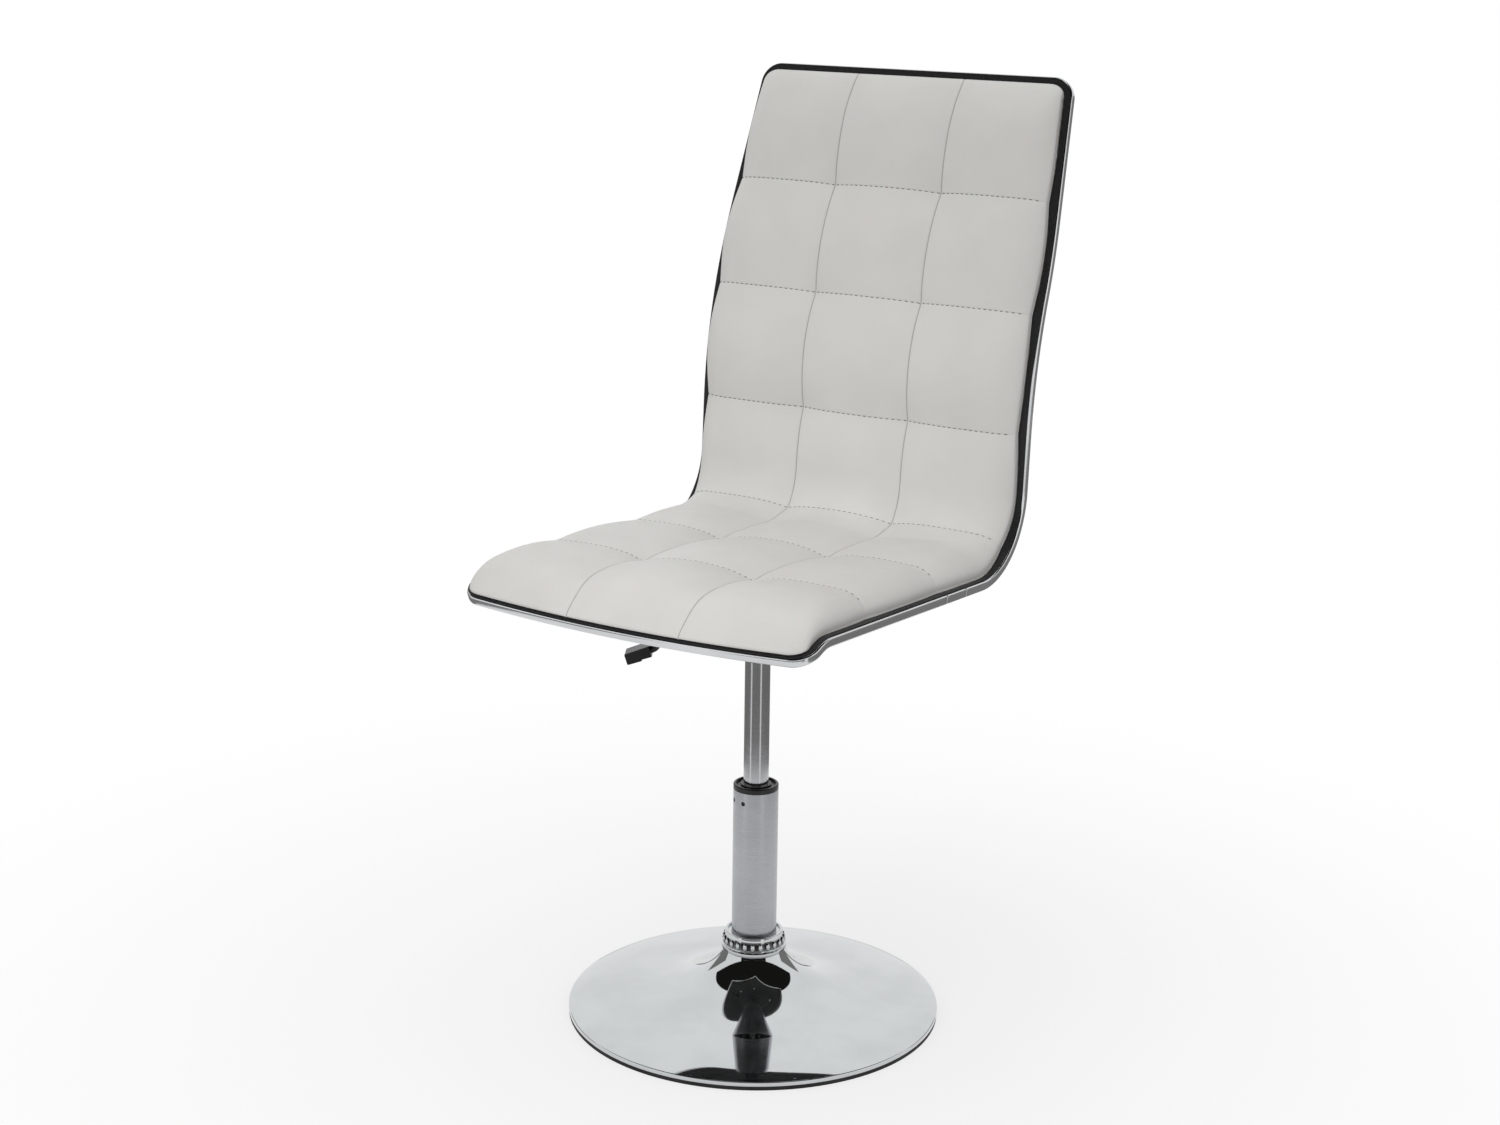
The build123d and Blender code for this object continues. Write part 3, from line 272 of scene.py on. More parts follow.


# What each finish is made of. Its colour runs from low, or from tint where low is None, up to tint, each
# times its factor. patches are the sizes in millimetres of the noise that carries colour, gloss and
# relief, and the last one stands for those not given. rough holds the least and the most roughness,
# relief a height in millimetres and a strength, fold a colour of painted shade and the values of the seam
# attribute between which it comes in, and sockets the shader's own constants.
PLAIN = dict(low=None, factors=(1, 1), detail=2, space="Object", relief=None, fold=None)
METAL = dict(PLAIN, factors=(0.93, 1), sockets={"Metallic": 1.0})
BLACK = dict(PLAIN, factors=(1, 1.87), sockets={"Specular IOR Level": 0.45})
MIRROR = dict(METAL, tint="chrome", patches=(50, 12), rough=(0.03, 0.055))
FINISHES = {
    # Embossed fabric with a soft even sheen, faint clouds, fine pebbles and painted shade along its column
    # seams
    "coated_fabric_light_grey_satin": dict(
        PLAIN, tint="pad", low="pad_shade", patches=(60, 20, 1.3), rough=(0.43, 0.53), relief=(0.12, 0.5),
        # The darker colour along the column seams is painted shade in their creases
        fold=("seam", 0.35, 0.95),
        sockets={"Specular IOR Level": 0.42, "Sheen Weight": 0.06, "Sheen Roughness": 0.4},
    ),
    # Dull thread with a twist, drawn coarser than the real 0.2 mm so that it shows
    "polyester_thread_matt": dict(
        PLAIN, tint="thread", factors=(0.75, 1), patches=(0.6,), detail=1, rough=(0.6, 0.75),
        relief=(0.1, 0.6), sockets={"Sheen Weight": 0.2},
    ),
    # Embossed fabric of low sheen, with a pebbled grain a little lighter on its crests
    "coated_fabric_black_grained": dict(
        PLAIN, tint="black_cover_worn", low="black_cover", patches=(1.6, 50, 1.6), rough=(0.48, 0.6),
        relief=(0.3, 0.6), sockets={"Specular IOR Level": 0.4},
    ),
    # Bright drawn bar with lines along it, drawn coarser than the real 0.05 mm so that they show
    "aluminium_polished_drawn": dict(
        PLAIN, tint="trim", factors=(0.9, 1), patches=(90, (0.7, 60, 1000)), space="UV", rough=(0.1, 0.2),
        relief=(0.02, 0.5), sockets={"Metallic": 1.0, "Anisotropic": 0.35},
    ),
    # Plated mirror with a faint unevenness of its polish
    "chrome_mirror": MIRROR,
    # The same mirror with painted shade in the hollows between beads
    "chrome_mirror_beaded": dict(MIRROR, fold=("bead_gap_shade", 0, 1)),
    # Plated tube with a soft gloss and rings of its brushing, drawn coarser than the real 0.1 mm
    "chrome_satin": dict(
        METAL, tint="satin", patches=(50, (40, 40, 0.5)), rough=(0.26, 0.36), relief=(0.01, 0.5)
    ),
    # Ground rod with a clear gloss and rings of its grinding, drawn coarser than the real 0.05 mm
    "steel_ground": dict(
        METAL, tint="steel", patches=(50, (40, 40, 0.4)), rough=(0.1, 0.18), relief=(0.005, 0.5)
    ),
    # Plated fasteners with a cloudy, uneven gloss
    "steel_zinc_plated": dict(METAL, tint="zinc", patches=(50, 4), rough=(0.25, 0.42), relief=(0.02, 0.5)),
    # Sprayed and baked powder: an even skin with a fine orange peel
    "steel_powder_coated": dict(
        BLACK, tint="paint", patches=(0.9, 40, 0.9), rough=(0.42, 0.56), relief=(0.08, 0.5)
    ),
    # Moulded parts with a half gloss and a fine spark eroded grain
    "plastic_moulded_black": dict(
        BLACK, tint="plastic", patches=(0.7, 40, 0.7), rough=(0.26, 0.36), relief=(0.03, 0.5)
    ),
    # Moulded ring, dull and faintly grained
    "rubber_black_matt": dict(
        BLACK, tint="rubber", patches=(1.5, 40, 1.5), rough=(0.62, 0.78), relief=(0.06, 0.5)
    ),
    # Pressed veneers, pale, with long grain and thin darker lines
    "beech_plywood_raw": dict(
        PLAIN, tint="plywood", low="plywood_dark", patches=((3, 80, 3),), detail=3, rough=(0.55, 0.7),
        relief=(0.2, 0.4), sockets={"Specular IOR Level": 0.3},
    ),
}
# The finish of each of the record's material slots
SLOTS = {
    "upholstery": "coated_fabric_light_grey_satin",
    "black_cover": "coated_fabric_black_grained",
    "polished_trim": "aluminium_polished_drawn",
    "mirror_chrome": "chrome_mirror",
    "satin_chrome": "chrome_satin",
    "ground_steel": "steel_ground",
    "zinc_steel": "steel_zinc_plated",
    "black_steel": "steel_powder_coated",
    "black_plastic": "plastic_moulded_black",
    "black_rubber": "rubber_black_matt",
    "plywood": "beech_plywood_raw",
}
COLOUR_SPAN = (0.35, 0.65)  # noise values between which a colour runs
GLOSS_SPAN = (0.3, 0.7)  # noise values between which a roughness runs


def add_node(tree, kind, settings=None, joins=None):
    """Add a shader node, set its sockets and fields from settings and link the sockets in joins."""
    made = tree.nodes.new("ShaderNode" + kind)
    for key, value in (settings or {}).items():
        if isinstance(key, int) or key in made.inputs:
            made.inputs[key].default_value = value
        else:
            setattr(made, key, value)
    for key, source in (joins or {}).items():
        tree.links.new(source, made.inputs[key])
    return made


def empty_finish(name):
    """A material of that name, found or new, with an empty node tree."""
    made = bpy.data.materials.get(name) or bpy.data.materials.new(name)
    made.use_nodes = True
    made.node_tree.nodes.clear()
    return made, made.node_tree


def finish(name, colours):
    """Build a finish from its row: three noise patterns carry its colour, its roughness and its relief."""
    row = FINISHES[name]
    made, tree = empty_finish(name)
    place = add_node(tree, "TexCoord").outputs
    patches = (*row["patches"], *[row["patches"][-1]] * 2)
    patterns = []
    for patch, space in zip(patches, ("Object", row["space"], row["space"])):
        scale = tuple(1000 / (patch * np.ones(3)))
        mapped = add_node(tree, "Mapping", {"Scale": scale}, {"Vector": place[space]})
        settings = {"Scale": 1.0, "Detail": row["detail"]}
        noise = add_node(tree, "TexNoise", settings, {"Vector": mapped.outputs["Vector"]})
        patterns.append(noise.outputs["Fac"])

    tints = zip((row["low"] or row["tint"], row["tint"]), row["factors"])
    low, high = ((*(factor * c for c in getattr(colours, tint)[:3]), 1.0) for tint, factor in tints)
    layers = [(patterns[0], *COLOUR_SPAN, high)]
    # The seam attribute carries painted shade, along the pad's column seams and between the collar's beads
    if row["fold"]:
        tint, *span = row["fold"]
        seam = add_node(tree, "Attribute", {"attribute_name": "seam"}).outputs["Fac"]
        layers.append((seam, *span, tuple(getattr(colours, tint))))
    sources = {}
    # A Mix node's colours go in at sockets 6 and 7 and come out at 2
    for source, start, stop, tint in layers:
        share = add_node(tree, "MapRange", {"From Min": start, "From Max": stop}, {"Value": source})
        joins = {0: share.outputs["Result"]}
        if sources:
            joins[6] = sources["Base Color"]
        mixed = add_node(tree, "Mix", {"data_type": "RGBA", 6: low, 7: tint}, joins)
        sources["Base Color"] = mixed.outputs[2]

    ends = zip(("From Min", "From Max", "To Min", "To Max"), (*GLOSS_SPAN, *row["rough"]))
    gloss = add_node(tree, "MapRange", dict(ends), {"Value": patterns[1]})
    sources["Roughness"] = gloss.outputs["Result"]
    if row["relief"]:
        height, strength = row["relief"]
        settings = {"Distance": height / 1000, "Strength": strength}
        sources["Normal"] = add_node(tree, "Bump", settings, {"Height": patterns[2]}).outputs["Normal"]
    shader = add_node(tree, "BsdfPrincipled", row["sockets"], sources)
    add_node(tree, "OutputMaterial", None, {"Surface": shader.outputs["BSDF"]})
    return made


def stretches(shell):
    """Turn and length of each stretch of the side profile, from the front edge to the top."""
    return (
        (0.0, shell.lip_straight),
        (-shell.lip_turn, shell.lip_turn * shell.lip_radius),
        (0.0, shell.seat_straight),
        (shell.bend_turn, shell.bend_turn * shell.bend_radius),
        (0.0, shell.lower_back),
        (-shell.bow_turn, shell.bow_turn * shell.bow_radius),
        (0.0, shell.upper_back),
    )


def profile(shell, run):
    """Side profile at each run: y, z and heading, carried along straights and arcs.

    An arc's chord points half way through its turn and measures the arc times the sine of half the
    turn over half the turn. The first and last straights go on past their ends.
    """
    y = np.full(np.shape(run), -shell.front_reach)
    z = np.full(np.shape(run), shell.front_height)
    heading = np.full(np.shape(run), shell.lip_slope)
    start = 0.0
    steps = stretches(shell)
    for place, (turn, stretch) in enumerate(steps):
        lowest, highest = -(place == 0), 1 + (place == len(steps) - 1)
        share = np.clip((run - start) / stretch, lowest, highest)
        chord = share * stretch * np.sinc(share * turn / math.tau)
        y = y + chord * np.cos(heading + share * turn / 2)
        z = z + chord * np.sin(heading + share * turn / 2)
        heading = heading + share * turn
        start += stretch
    return y, z, heading


def over_shell(shell, x, run, height):
    """Points at a height over the shell's upper face, square to the side profile."""
    y, z, heading = profile(shell, run)
    return np.stack([x + 0 * y, y - height * np.sin(heading), z + height * np.cos(heading)], -1)


def half_width(shell, run):
    """Half of the shell's width at each run: constant, then an arc, then the taper's straight line."""
    end = sum(stretch for _, stretch in stretches(shell))
    radius = shell.taper_blend / shell.taper_angle
    over = np.maximum(run - (end - shell.upper_back), 0)
    bent = np.minimum(over, radius * math.sin(shell.taper_angle))
    drop = radius - np.sqrt(radius ** 2 - bent ** 2) + (over - bent) * math.tan(shell.taper_angle)
    return shell.half_width - drop


def bow_radius(shell):
    """Radius of the front edge's bow, from its width and its rise."""
    return (shell.half_width ** 2 + shell.front_bow ** 2) / (2 * shell.front_bow)


def outline(shell, step=0.003):
    """Right half of the shell's outline, unrolled: bow, corner, side, taper, corner and top.

    Each column holds x, run and the two parts of the outward direction. An arc is its centre plus its
    radius times the outward direction, with as many points as its last value says, and a straight keeps
    its direction.
    """
    end = sum(stretch for _, stretch in stretches(shell))
    corner, taper, half = shell.corner_radius, shell.taper_angle, shell.half_width
    big, bend = bow_radius(shell), shell.taper_blend / shell.taper_angle
    low_x = half - corner
    low_run = big - math.sqrt((big - corner) ** 2 - low_x ** 2)
    low_angle = math.atan2(low_x, big - low_run)
    taper_run = end - shell.upper_back
    top_x = half_width(shell, np.array(end)) - corner * (1 - math.sin(taper)) / math.cos(taper)

    def arc(x, run, radius, start, stop, count):
        turn = np.linspace(start, stop, count, endpoint=False)
        aim = np.stack([np.sin(turn), -np.cos(turn)])
        return np.concatenate([np.array([[x], [run]]) + radius * aim, aim])

    def straight(first, last, aim):
        count = max(2, int(math.dist(first, last) / step))
        line = np.linspace(first, last, count, endpoint=False)
        return np.concatenate([line.T, np.repeat(np.array(aim)[:, None], count, 1)])

    lean = math.pi / 2 + taper
    bent = (half - bend * (1 - math.cos(taper)), taper_run + bend * math.sin(taper))
    high = (top_x + corner * math.cos(taper), end - corner + corner * math.sin(taper))
    parts = (
        arc(0, big, big, 0, low_angle, 60),
        arc(low_x, low_run, corner, low_angle, math.pi / 2, 16),
        straight((half, low_run), (half, taper_run), (1, 0)),
        arc(half - bend, taper_run, bend, math.pi / 2, lean, 24),
        straight(bent, high, (math.cos(taper), math.sin(taper))),
        arc(top_x, end - corner, corner, lean, math.pi, 16),
        straight((top_x, end), (0, end), (0, 1)),
        np.array([[0], [end], [0], [1]]),
    )
    return np.concatenate(parts, 1)


def between(path, first, last):
    """Cut a half outline to the part whose run lies between two runs on its side."""
    inside = (path[1] > first) & (path[1] < last)
    ends = [np.array([[np.interp(run, path[1], row)] for row in path]) for run in (first, last)]
    parts = [path[:, inside]]
    if first > path[1, 0]:
        parts.insert(0, ends[0])
    if last < path[1, -1]:
        parts.append(ends[1])
    return np.concatenate(parts, 1)


def mirrored(path):
    """The left half that matches a right half of the outline."""
    return path * np.array([[-1], [1], [-1], [1]])


def carry(shell, path, section):
    """A section carried along an outline: outward along it and upward square to the shell."""
    x, run, out_x, out_run = path[:, :, None]
    out, up = section[None, :, 0], section[None, :, 1]
    y, z, heading = profile(shell, run)
    y = y + out * out_run * np.cos(heading) - up * np.sin(heading)
    z = z + out * out_run * np.sin(heading) + up * np.cos(heading)
    return np.stack([x + out * out_x + 0 * up, y, z], -1)


def even_turns(count):
    """Angles of a full turn in even steps."""
    return np.linspace(0, math.tau, count, endpoint=False)


def unit(rows):
    """Directions, one in each row, brought to a length of one."""
    return rows / np.linalg.norm(rows, axis=1, keepdims=True)


def rounded(corners, radii, steps):
    """A closed outline with each corner replaced by an arc tangent to its two sides.

    The arc's centre lies on the corner's bisector, and its points turn evenly from one side's tangent
    point to the other's.
    """
    corners = np.array(corners, float)
    radii = np.array(radii, float)[:, None]
    before = unit(np.roll(corners, 1, 0) - corners)
    after = unit(np.roll(corners, -1, 0) - corners)
    half = np.arccos(np.clip((before * after).sum(1, keepdims=True), -1, 1)) / 2
    centre = corners + unit(before + after) * radii / np.sin(half)
    start = corners + before * radii / np.tan(half) - centre
    stop = corners + after * radii / np.tan(half) - centre
    sweep = (math.pi - 2 * half)[:, None]
    share = np.linspace(0, 1, steps)[None, :, None]
    arc = np.sin((1 - share) * sweep) * start[:, None] + np.sin(share * sweep) * stop[:, None]
    return (centre[:, None] + arc / np.sin(sweep)).reshape(-1, 2)


def turned(section, turns):
    """A section of radius and height turned round the vertical axis."""
    turn = even_turns(turns)[:, None]
    radius, height = section[None, :, 0], section[None, :, 1]
    return np.stack([radius * np.cos(turn), radius * np.sin(turn), height + 0 * turn], -1)


def grid_faces(points, wrap_rows=False, wrap_columns=False, rows=None, columns=None):
    """Faces of a grid of points and their UV places; a wrapped side joins its last line to its first."""
    count, width = points.shape[:2]
    i = np.arange(count if wrap_rows else count - 1)
    j = np.arange(width if wrap_columns else width - 1)
    i, j = (each.ravel() for each in np.meshgrid(i, j, indexing="ij"))
    corners = ((0, 0), (0, 1), (1, 1), (1, 0))
    quads = np.stack([(i + a) % count * width + (j + b) % width for a, b in corners], 1)
    rows = np.arange(count + 1.0) if rows is None else rows
    columns = np.arange(width + 1.0) if columns is None else columns
    uv = np.stack([np.stack([columns[j + b], rows[i + a]], 1) for a, b in corners], 1)
    return quads, uv


def tube(points, closed=False, rows=None, columns=None):
    """A tube of rings as points, faces, UV places and end caps, without caps where it closes on itself."""
    count, width = points.shape[:2]
    quads, uv = grid_faces(points, closed, True, rows, columns)
    ring = np.arange(width)
    caps = [] if closed else [ring[::-1], ring + (count - 1) * width]
    return points.reshape(-1, 3), quads, uv, caps


def copies(rings, centres, axes):
    """Copies of a small tube, one at each centre, along the three axes that belong to it."""
    points, *faces = tube(rings)
    return [(each, *faces) for each in centres[:, None] + np.einsum("kc,ncd->nkd", points, axes)]


def bar(shell, path, section, closed=False):
    """A section carried along a path, with the lengths along and round it as UV places."""

    def lengths(points, wrap):
        line = np.concatenate([points, points[:1]]) if wrap else points
        return np.concatenate([[0.0], np.cumsum(np.linalg.norm(np.diff(line, axis=0), axis=1))])

    points = carry(shell, path, section)
    return tube(points, closed, lengths(points[:, 0], closed), lengths(section, True))


def outward(points, quads, uv, caps):
    """Turn faces round where their enclosed volume comes out below nothing."""
    a, b, c, d = (points[quads[:, k]] - points.mean(0) for k in range(4))
    volume = (a * np.cross(b, c)).sum() + (a * np.cross(c, d)).sum()
    if volume < 0:
        return quads[:, ::-1], uv[:, ::-1], [cap[::-1] for cap in caps]
    return quads, uv, caps


def put(name, data):
    """An object of that name for a mesh, a lamp or a camera, in the scene."""
    made = bpy.data.objects.new(name, data)
    bpy.context.scene.collection.objects.link(made)
    return made


def plain_sheet(name, points, faces):
    """A plain object of the points and the faces given."""
    mesh = bpy.data.meshes.new(name)
    mesh.from_pydata(points.reshape(-1, 3).tolist(), [], faces)
    mesh.update()
    return put(name, mesh)


def make_piece(name, parts, body, look, seam=None):
    """Make one object of parts, each its points, faces, UV places and end caps, and let it ride."""
    points, faces, places, start = [], [], [], 0
    for part_points, quads, uv, caps in parts:
        quads, uv, caps = outward(part_points, quads, uv, caps)
        points.append(part_points)
        faces += (quads + start).tolist() + [(cap + start).tolist() for cap in caps]
        places += [uv.reshape(-1, 2)] + [np.zeros((len(cap), 2)) for cap in caps]
        start += len(part_points)
    piece = plain_sheet(name, np.concatenate(points), faces)
    mesh = piece.data
    if mesh.validate():
        raise RuntimeError(f"{name} has faulty faces")
    mesh.shade_smooth()
    layer = mesh.uv_layers.new(name="surface")
    layer.uv.foreach_set("vector", np.concatenate(places).astype(np.float32).ravel())
    # The seam attribute carries painted shade for the finish to lay on
    if seam is not None:
        mesh.attributes.new("seam", "FLOAT", "POINT").data.foreach_set("value", seam.astype(np.float32))
    mesh.materials.append(look)
    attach(piece, body)
    return piece


def seam_runs(shell, pad):
    """Runs of the row ends along the profile, from the front edge to the top."""
    lengths = [stretch for _, stretch in stretches(shell)]
    bend = sum(lengths[:3]) + lengths[3] / 2
    back = np.cumsum([bend, pad.first_back_row, pad.second_back_row, pad.third_back_row])
    return np.array([0, pad.front_row, pad.front_row + pad.middle_row, *back, sum(lengths)])


def pad_surface(shell, pad, across, along, lift=0.0):
    """Points of the tufted pad, how near each is to a column seam, and the points under it on the shell.

    across counts panels from 0 to 3 and along counts rows from 0 to 7. The height over the shell is the
    height of the seam crossings, plus a crown that is a sine along each row and a parabola across each
    panel, less a narrow bell for each seam and a wide bell for each crossing. It falls to the edge's
    height along quarter ellipses at the sides, the front and the top, whose inverse fourth powers add up
    at the corners. Half way down its sides a panel stands out by a parabola's bulge, and its front edge
    leans out over the welt by another.
    """
    across, along = np.broadcast_arrays(across, along)
    seams = seam_runs(shell, pad)
    nominal = np.interp(along, np.arange(ROWS + 1), seams)
    arch = np.abs(np.sin(np.pi * along))
    open_end = np.abs(along - ROWS / 2) > ROWS / 2 - 0.5
    puff = np.where(open_end, 1, arch)
    half = half_width(shell, nominal) - pad.inset - pad.draw_in * (1 - puff)
    from_middle = np.abs(across - PANELS / 2)
    side = np.clip(from_middle - 0.5, 0, 1)
    reach = np.minimum(2 * from_middle, 1) * pad.panel_half + side * (half - pad.panel_half)
    x = np.sign(across - PANELS / 2) * reach

    corner, big = shell.corner_radius, bow_radius(shell)
    gap = half - reach
    cut = corner - np.sqrt(corner ** 2 - np.clip(corner - gap, 0, corner) ** 2)
    front = big - np.sqrt(big ** 2 - x ** 2) + cut + pad.inset
    back = seams[-1] - cut - pad.inset
    run = np.where(along < 1, front + (seams[1] - front) * along, nominal)
    run = np.where(along > ROWS - 1, seams[-2] + (back - seams[-2]) * (along - ROWS + 1), run)

    def rolled(distance, roll):
        return np.sqrt(1 - np.clip(1 - distance / roll, 0, 1) ** 2)

    sides, ahead = rolled(gap, pad.side_roll), rolled(run - front, pad.front_roll)
    least = 0.001  # keeps the inverse powers finite at the edge
    falls = np.maximum([sides, ahead, rolled(back - run, pad.top_roll)], least)
    fall = (np.sum(falls ** -4, 0) - 2) ** -0.25
    swell = pad.bulge * (pad.seam_bulge + (1 - pad.seam_bulge) * puff)
    x = x + np.sign(x) * swell * 4 * sides * (1 - sides)
    bottom = over_shell(shell, x, run, pad.bed_gap)
    x = x + np.sign(x) * pad.corner_bulge * pad.front_bulge * (1 - sides) ** 2 * (1 - ahead)
    run = run - pad.front_bulge * (1 - ahead) ** 2
    share = np.clip((nominal - seams[3]) / (2 * pad.tuft_blend) + 0.5, 0, 1)
    share = share * share * (3 - 2 * share)
    tuft = pad.seat_tuft + (pad.back_tuft - pad.seat_tuft) * share
    crown = (pad.seat_row_crown + (pad.back_row_crown - pad.seat_row_crown) * share) * arch
    middle_dome = pad.column_crown * (1 - np.minimum(2 * from_middle, 1) ** 2)
    peak = pad.side_peak
    bend = np.where(side < peak, (1 - side / peak) ** 2, pad.side_fall * ((side - peak) / (1 - peak)) ** 2)
    dome = np.where(from_middle <= 0.5, middle_dome, pad.side_crown * (1 - bend))

    to_column = np.abs(reach - pad.panel_half)
    to_row = np.abs(run[..., None] - seams[1:-1]).min(-1)
    folds = np.exp(-((np.stack([to_column, to_row]) / pad.groove_width) ** 2))
    groove = np.maximum(folds[0], pad.row_share * folds[1])
    pinch = np.exp(-(to_column ** 2 + to_row ** 2) / pad.pinch_width ** 2)
    rise = tuft - pad.edge_height + crown + dome - pad.pinch_depth * pinch
    height = pad.edge_height + fall * (rise + lift) - pad.groove_depth * groove
    return over_shell(shell, x, run, height), folds[0], bottom


def crowded(units, cells, gather=0.84):
    """Grid places from 0 to units: even steps, drawn by a sine towards whole numbers, where seams lie."""
    even = np.arange(units * cells + 1) / cells
    return even - gather * np.sin(math.tau * even) / math.tau


# Coated fabric in the cloth simulation, with mass in kilograms for each point, and the steps it takes
CLOTH = {
    "quality": 6,
    "mass": 0.25,
    "tension_stiffness": 14,
    "compression_stiffness": 14,
    "shear_stiffness": 8,
    "bending_stiffness": 1.5,
    "vertex_group_mass": "held",
    "use_pressure": True,
}
CLOTH_STEPS = 20


def cloth_lift(points, held, pressure, limit):
    """Blow a sewn sheet up with Cloth and return how far each point rises along its normal.

    The held points, which are the seams and the edge, stay where they are. The rise levels off towards
    limit by a hyperbolic tangent.
    """
    scene = bpy.context.scene
    sheet = plain_sheet("sewn_sheet", points, grid_faces(points)[0].tolist())
    mesh = sheet.data
    sheet.vertex_groups.new(name="held").add(np.flatnonzero(held).tolist(), 1.0, "REPLACE")
    cloth = sheet.modifiers.new("filling", "CLOTH")
    for key, value in CLOTH.items():
        setattr(cloth.settings, key, value)
    cloth.settings.uniform_pressure_force = pressure
    cloth.settings.effector_weights.gravity = 0
    cloth.collision_settings.use_collision = False
    cloth.point_cache.frame_start = 1
    cloth.point_cache.frame_end = CLOTH_STEPS
    for step in range(1, CLOTH_STEPS + 1):
        scene.frame_set(step)
    evaluated = sheet.evaluated_get(bpy.context.evaluated_depsgraph_get())
    moved, normals = np.empty(points.size, np.float32), np.empty(points.size, np.float32)
    evaluated.data.vertices.foreach_get("co", moved)
    mesh.vertices.foreach_get("normal", normals)
    lift = ((moved.reshape(points.shape) - points) * normals.reshape(points.shape)).sum(-1)
    scene.frame_set(1)
    bpy.data.objects.remove(sheet)
    bpy.data.meshes.remove(mesh)
    return limit * np.tanh(np.maximum(lift, 0) / limit)


def resampled(field, rows, columns):
    """A coarse field read at finer places with quadratic B-spline weights along both sides."""

    def weights(places, count):
        nearest = np.clip(np.rint(places).astype(int), 1, count - 2)
        off = places - nearest
        return nearest, ((0.5 - off) ** 2 / 2, 0.75 - off ** 2, (0.5 + off) ** 2 / 2)

    row, row_weights = weights(rows, field.shape[0])
    column, column_weights = weights(columns, field.shape[1])
    total = np.zeros((len(rows), len(columns)))
    for a in range(3):
        for b in range(3):
            share = row_weights[a][:, None] * column_weights[b][None, :]
            total += share * field[np.ix_(row + a - 1, column + b - 1)]
    return total


def dish_section(size):
    """The dish's wall: arcs from the neck to the rim, and the same line a wall's thickness inside.

    An arc of a radius runs over the change of the slope's sine and falls by the change of its cosine.
    """
    slopes = (size.neck_slope, size.flare_slope, size.dish_slope, size.edge_slope, size.rim_slope)
    radii = (size.neck_blend, size.flare_blend, -size.dish_dome, -size.edge_dome, -size.rim_round)
    outer, aims, steps = [], [], 28
    start = np.array([size.neck_radius, size.neck_height])
    for first, last, radius in zip(slopes, (*slopes[1:], math.pi / 2), radii):
        slope = np.linspace(first, last, steps)
        aim = np.stack([np.sin(slope), np.cos(slope)], 1)
        line = start + radius * (aim[0] - aim)
        start = line[-1]
        outer.append(line[:-1])
        aims.append(aim[:-1])
    outer = np.concatenate([*outer, [start, (start[0], size.rim_bottom)]])
    aims = np.concatenate([*aims, [(1, 0), (1, 0)]])
    inner = outer - size.dish_wall * aims
    under = size.neck_height - size.dish_wall
    inner[:, 1] = np.minimum(inner[:, 1], under)
    flange = [(size.flange_radius, under), (size.flange_radius, size.neck_height)]
    return np.concatenate([outer, inner[::-1], flange])


def collar_section(size):
    """The collar's section with rounded corners: lower lip, leaning band, upper lip and its hollow.

    A corner is a radius and a height, each with an offset in millimetres, and has a rounding. The band
    bows by 0.06 mm at its two inner corners, because a corner needs a turn to be rounded.
    """
    low = size.neck_height + size.collar_gap
    high = low + size.collar_height
    bore, foot, band, lip = size.collar_bore, size.collar_foot, size.collar_band, size.collar_lip
    corners = (
        (bore, 0, low, 0, 0.2),
        (foot, 0, low, 0, 0.9),
        (foot, 0, low, 4.2, 1.6),
        (band, 0.8, low, 4.8, 0.4),
        (band, 0.46, low, 7.12, 0.1),
        (band, -0.74, high, -6.92, 0.1),
        (band, -1.2, high, -4.6, 0.4),
        (lip, 0, high, -3.6, 1),
        (lip, -0.5, high, 0, 1.1),
        (lip, -3, high, 0, 0.8),
        (lip, -4.2, high, -3, 0.6),
        (bore, 0, high, -3, 0.2),
    )
    radius, outwards, height, upwards, rounding = np.array(corners).T
    line = np.stack([radius + outwards / 1000, height + upwards / 1000], 1)
    return rounded(line, rounding / 1000, steps=8)


def bead(size):
    """One oval bead as rings from its foot to its top: an ellipsoid's latitudes short of the poles."""
    rings, sides = 11, 16
    latitude = np.linspace(-1, 1, rings)[1:-1, None] * math.pi / 2
    turn = even_turns(sides)
    out = size.bead_depth * np.cos(latitude) * np.cos(turn)
    beside = size.bead_radius * np.cos(latitude) * np.sin(turn)
    return np.stack([out, beside, size.bead_length / 2 * np.sin(latitude) + 0 * turn], -1)


# Place and target of each lamp
KEY_LINE = ((-0.2, -0.7, 3.5), (0.0, 0.0, 0.6))
SPOT_LINE = ((0.2, -2.2, 1.15), (0.0, 0.12, 0.52))
# Studio cards, painted reflections that glow and only reflections see: sweep in degrees from the camera's
# bearing, radii and heights of two edges, and colour
CARDS = (
    ("dark_wall", (-118, 118), (3.6, 3.6), (2.15, 12.0), "dark_card"),
    ("dark_skirt", (-46, 46), (3.6, 3.6), (1.3, 2.15), "dark_card"),
    ("low_wall_left", (-140, -104), (3.6, 3.6), (0.0, 1.3), "grey_card"),
    ("low_wall_right", (104, 140), (3.6, 3.6), (0.0, 1.3), "grey_card"),
    ("dark_floor_0", (-165, -60), (0.8, 3.5), (0.002, 0.002), "grey_card"),
    ("dark_floor_1", (-48, 27), (0.8, 3.5), (0.002, 0.002), "grey_card"),
    ("dark_floor_2", (39, 165), (0.8, 3.5), (0.002, 0.002), "grey_card"),
)
CARD_STEPS = 43
FLOOR_RINGS = (0.002, 0.3, 0.6, 1.0, 1.6, 2.4, 4.0, 8.0, 16.0, 30.0)
FLOOR_SIDES = 64
# Share of the background's white in the floor, by the distance from the chair's centre
FLOOR_FADE = {"From Min": 0.25, "From Max": 1.3, "To Min": 0.7, "To Max": 1.0}


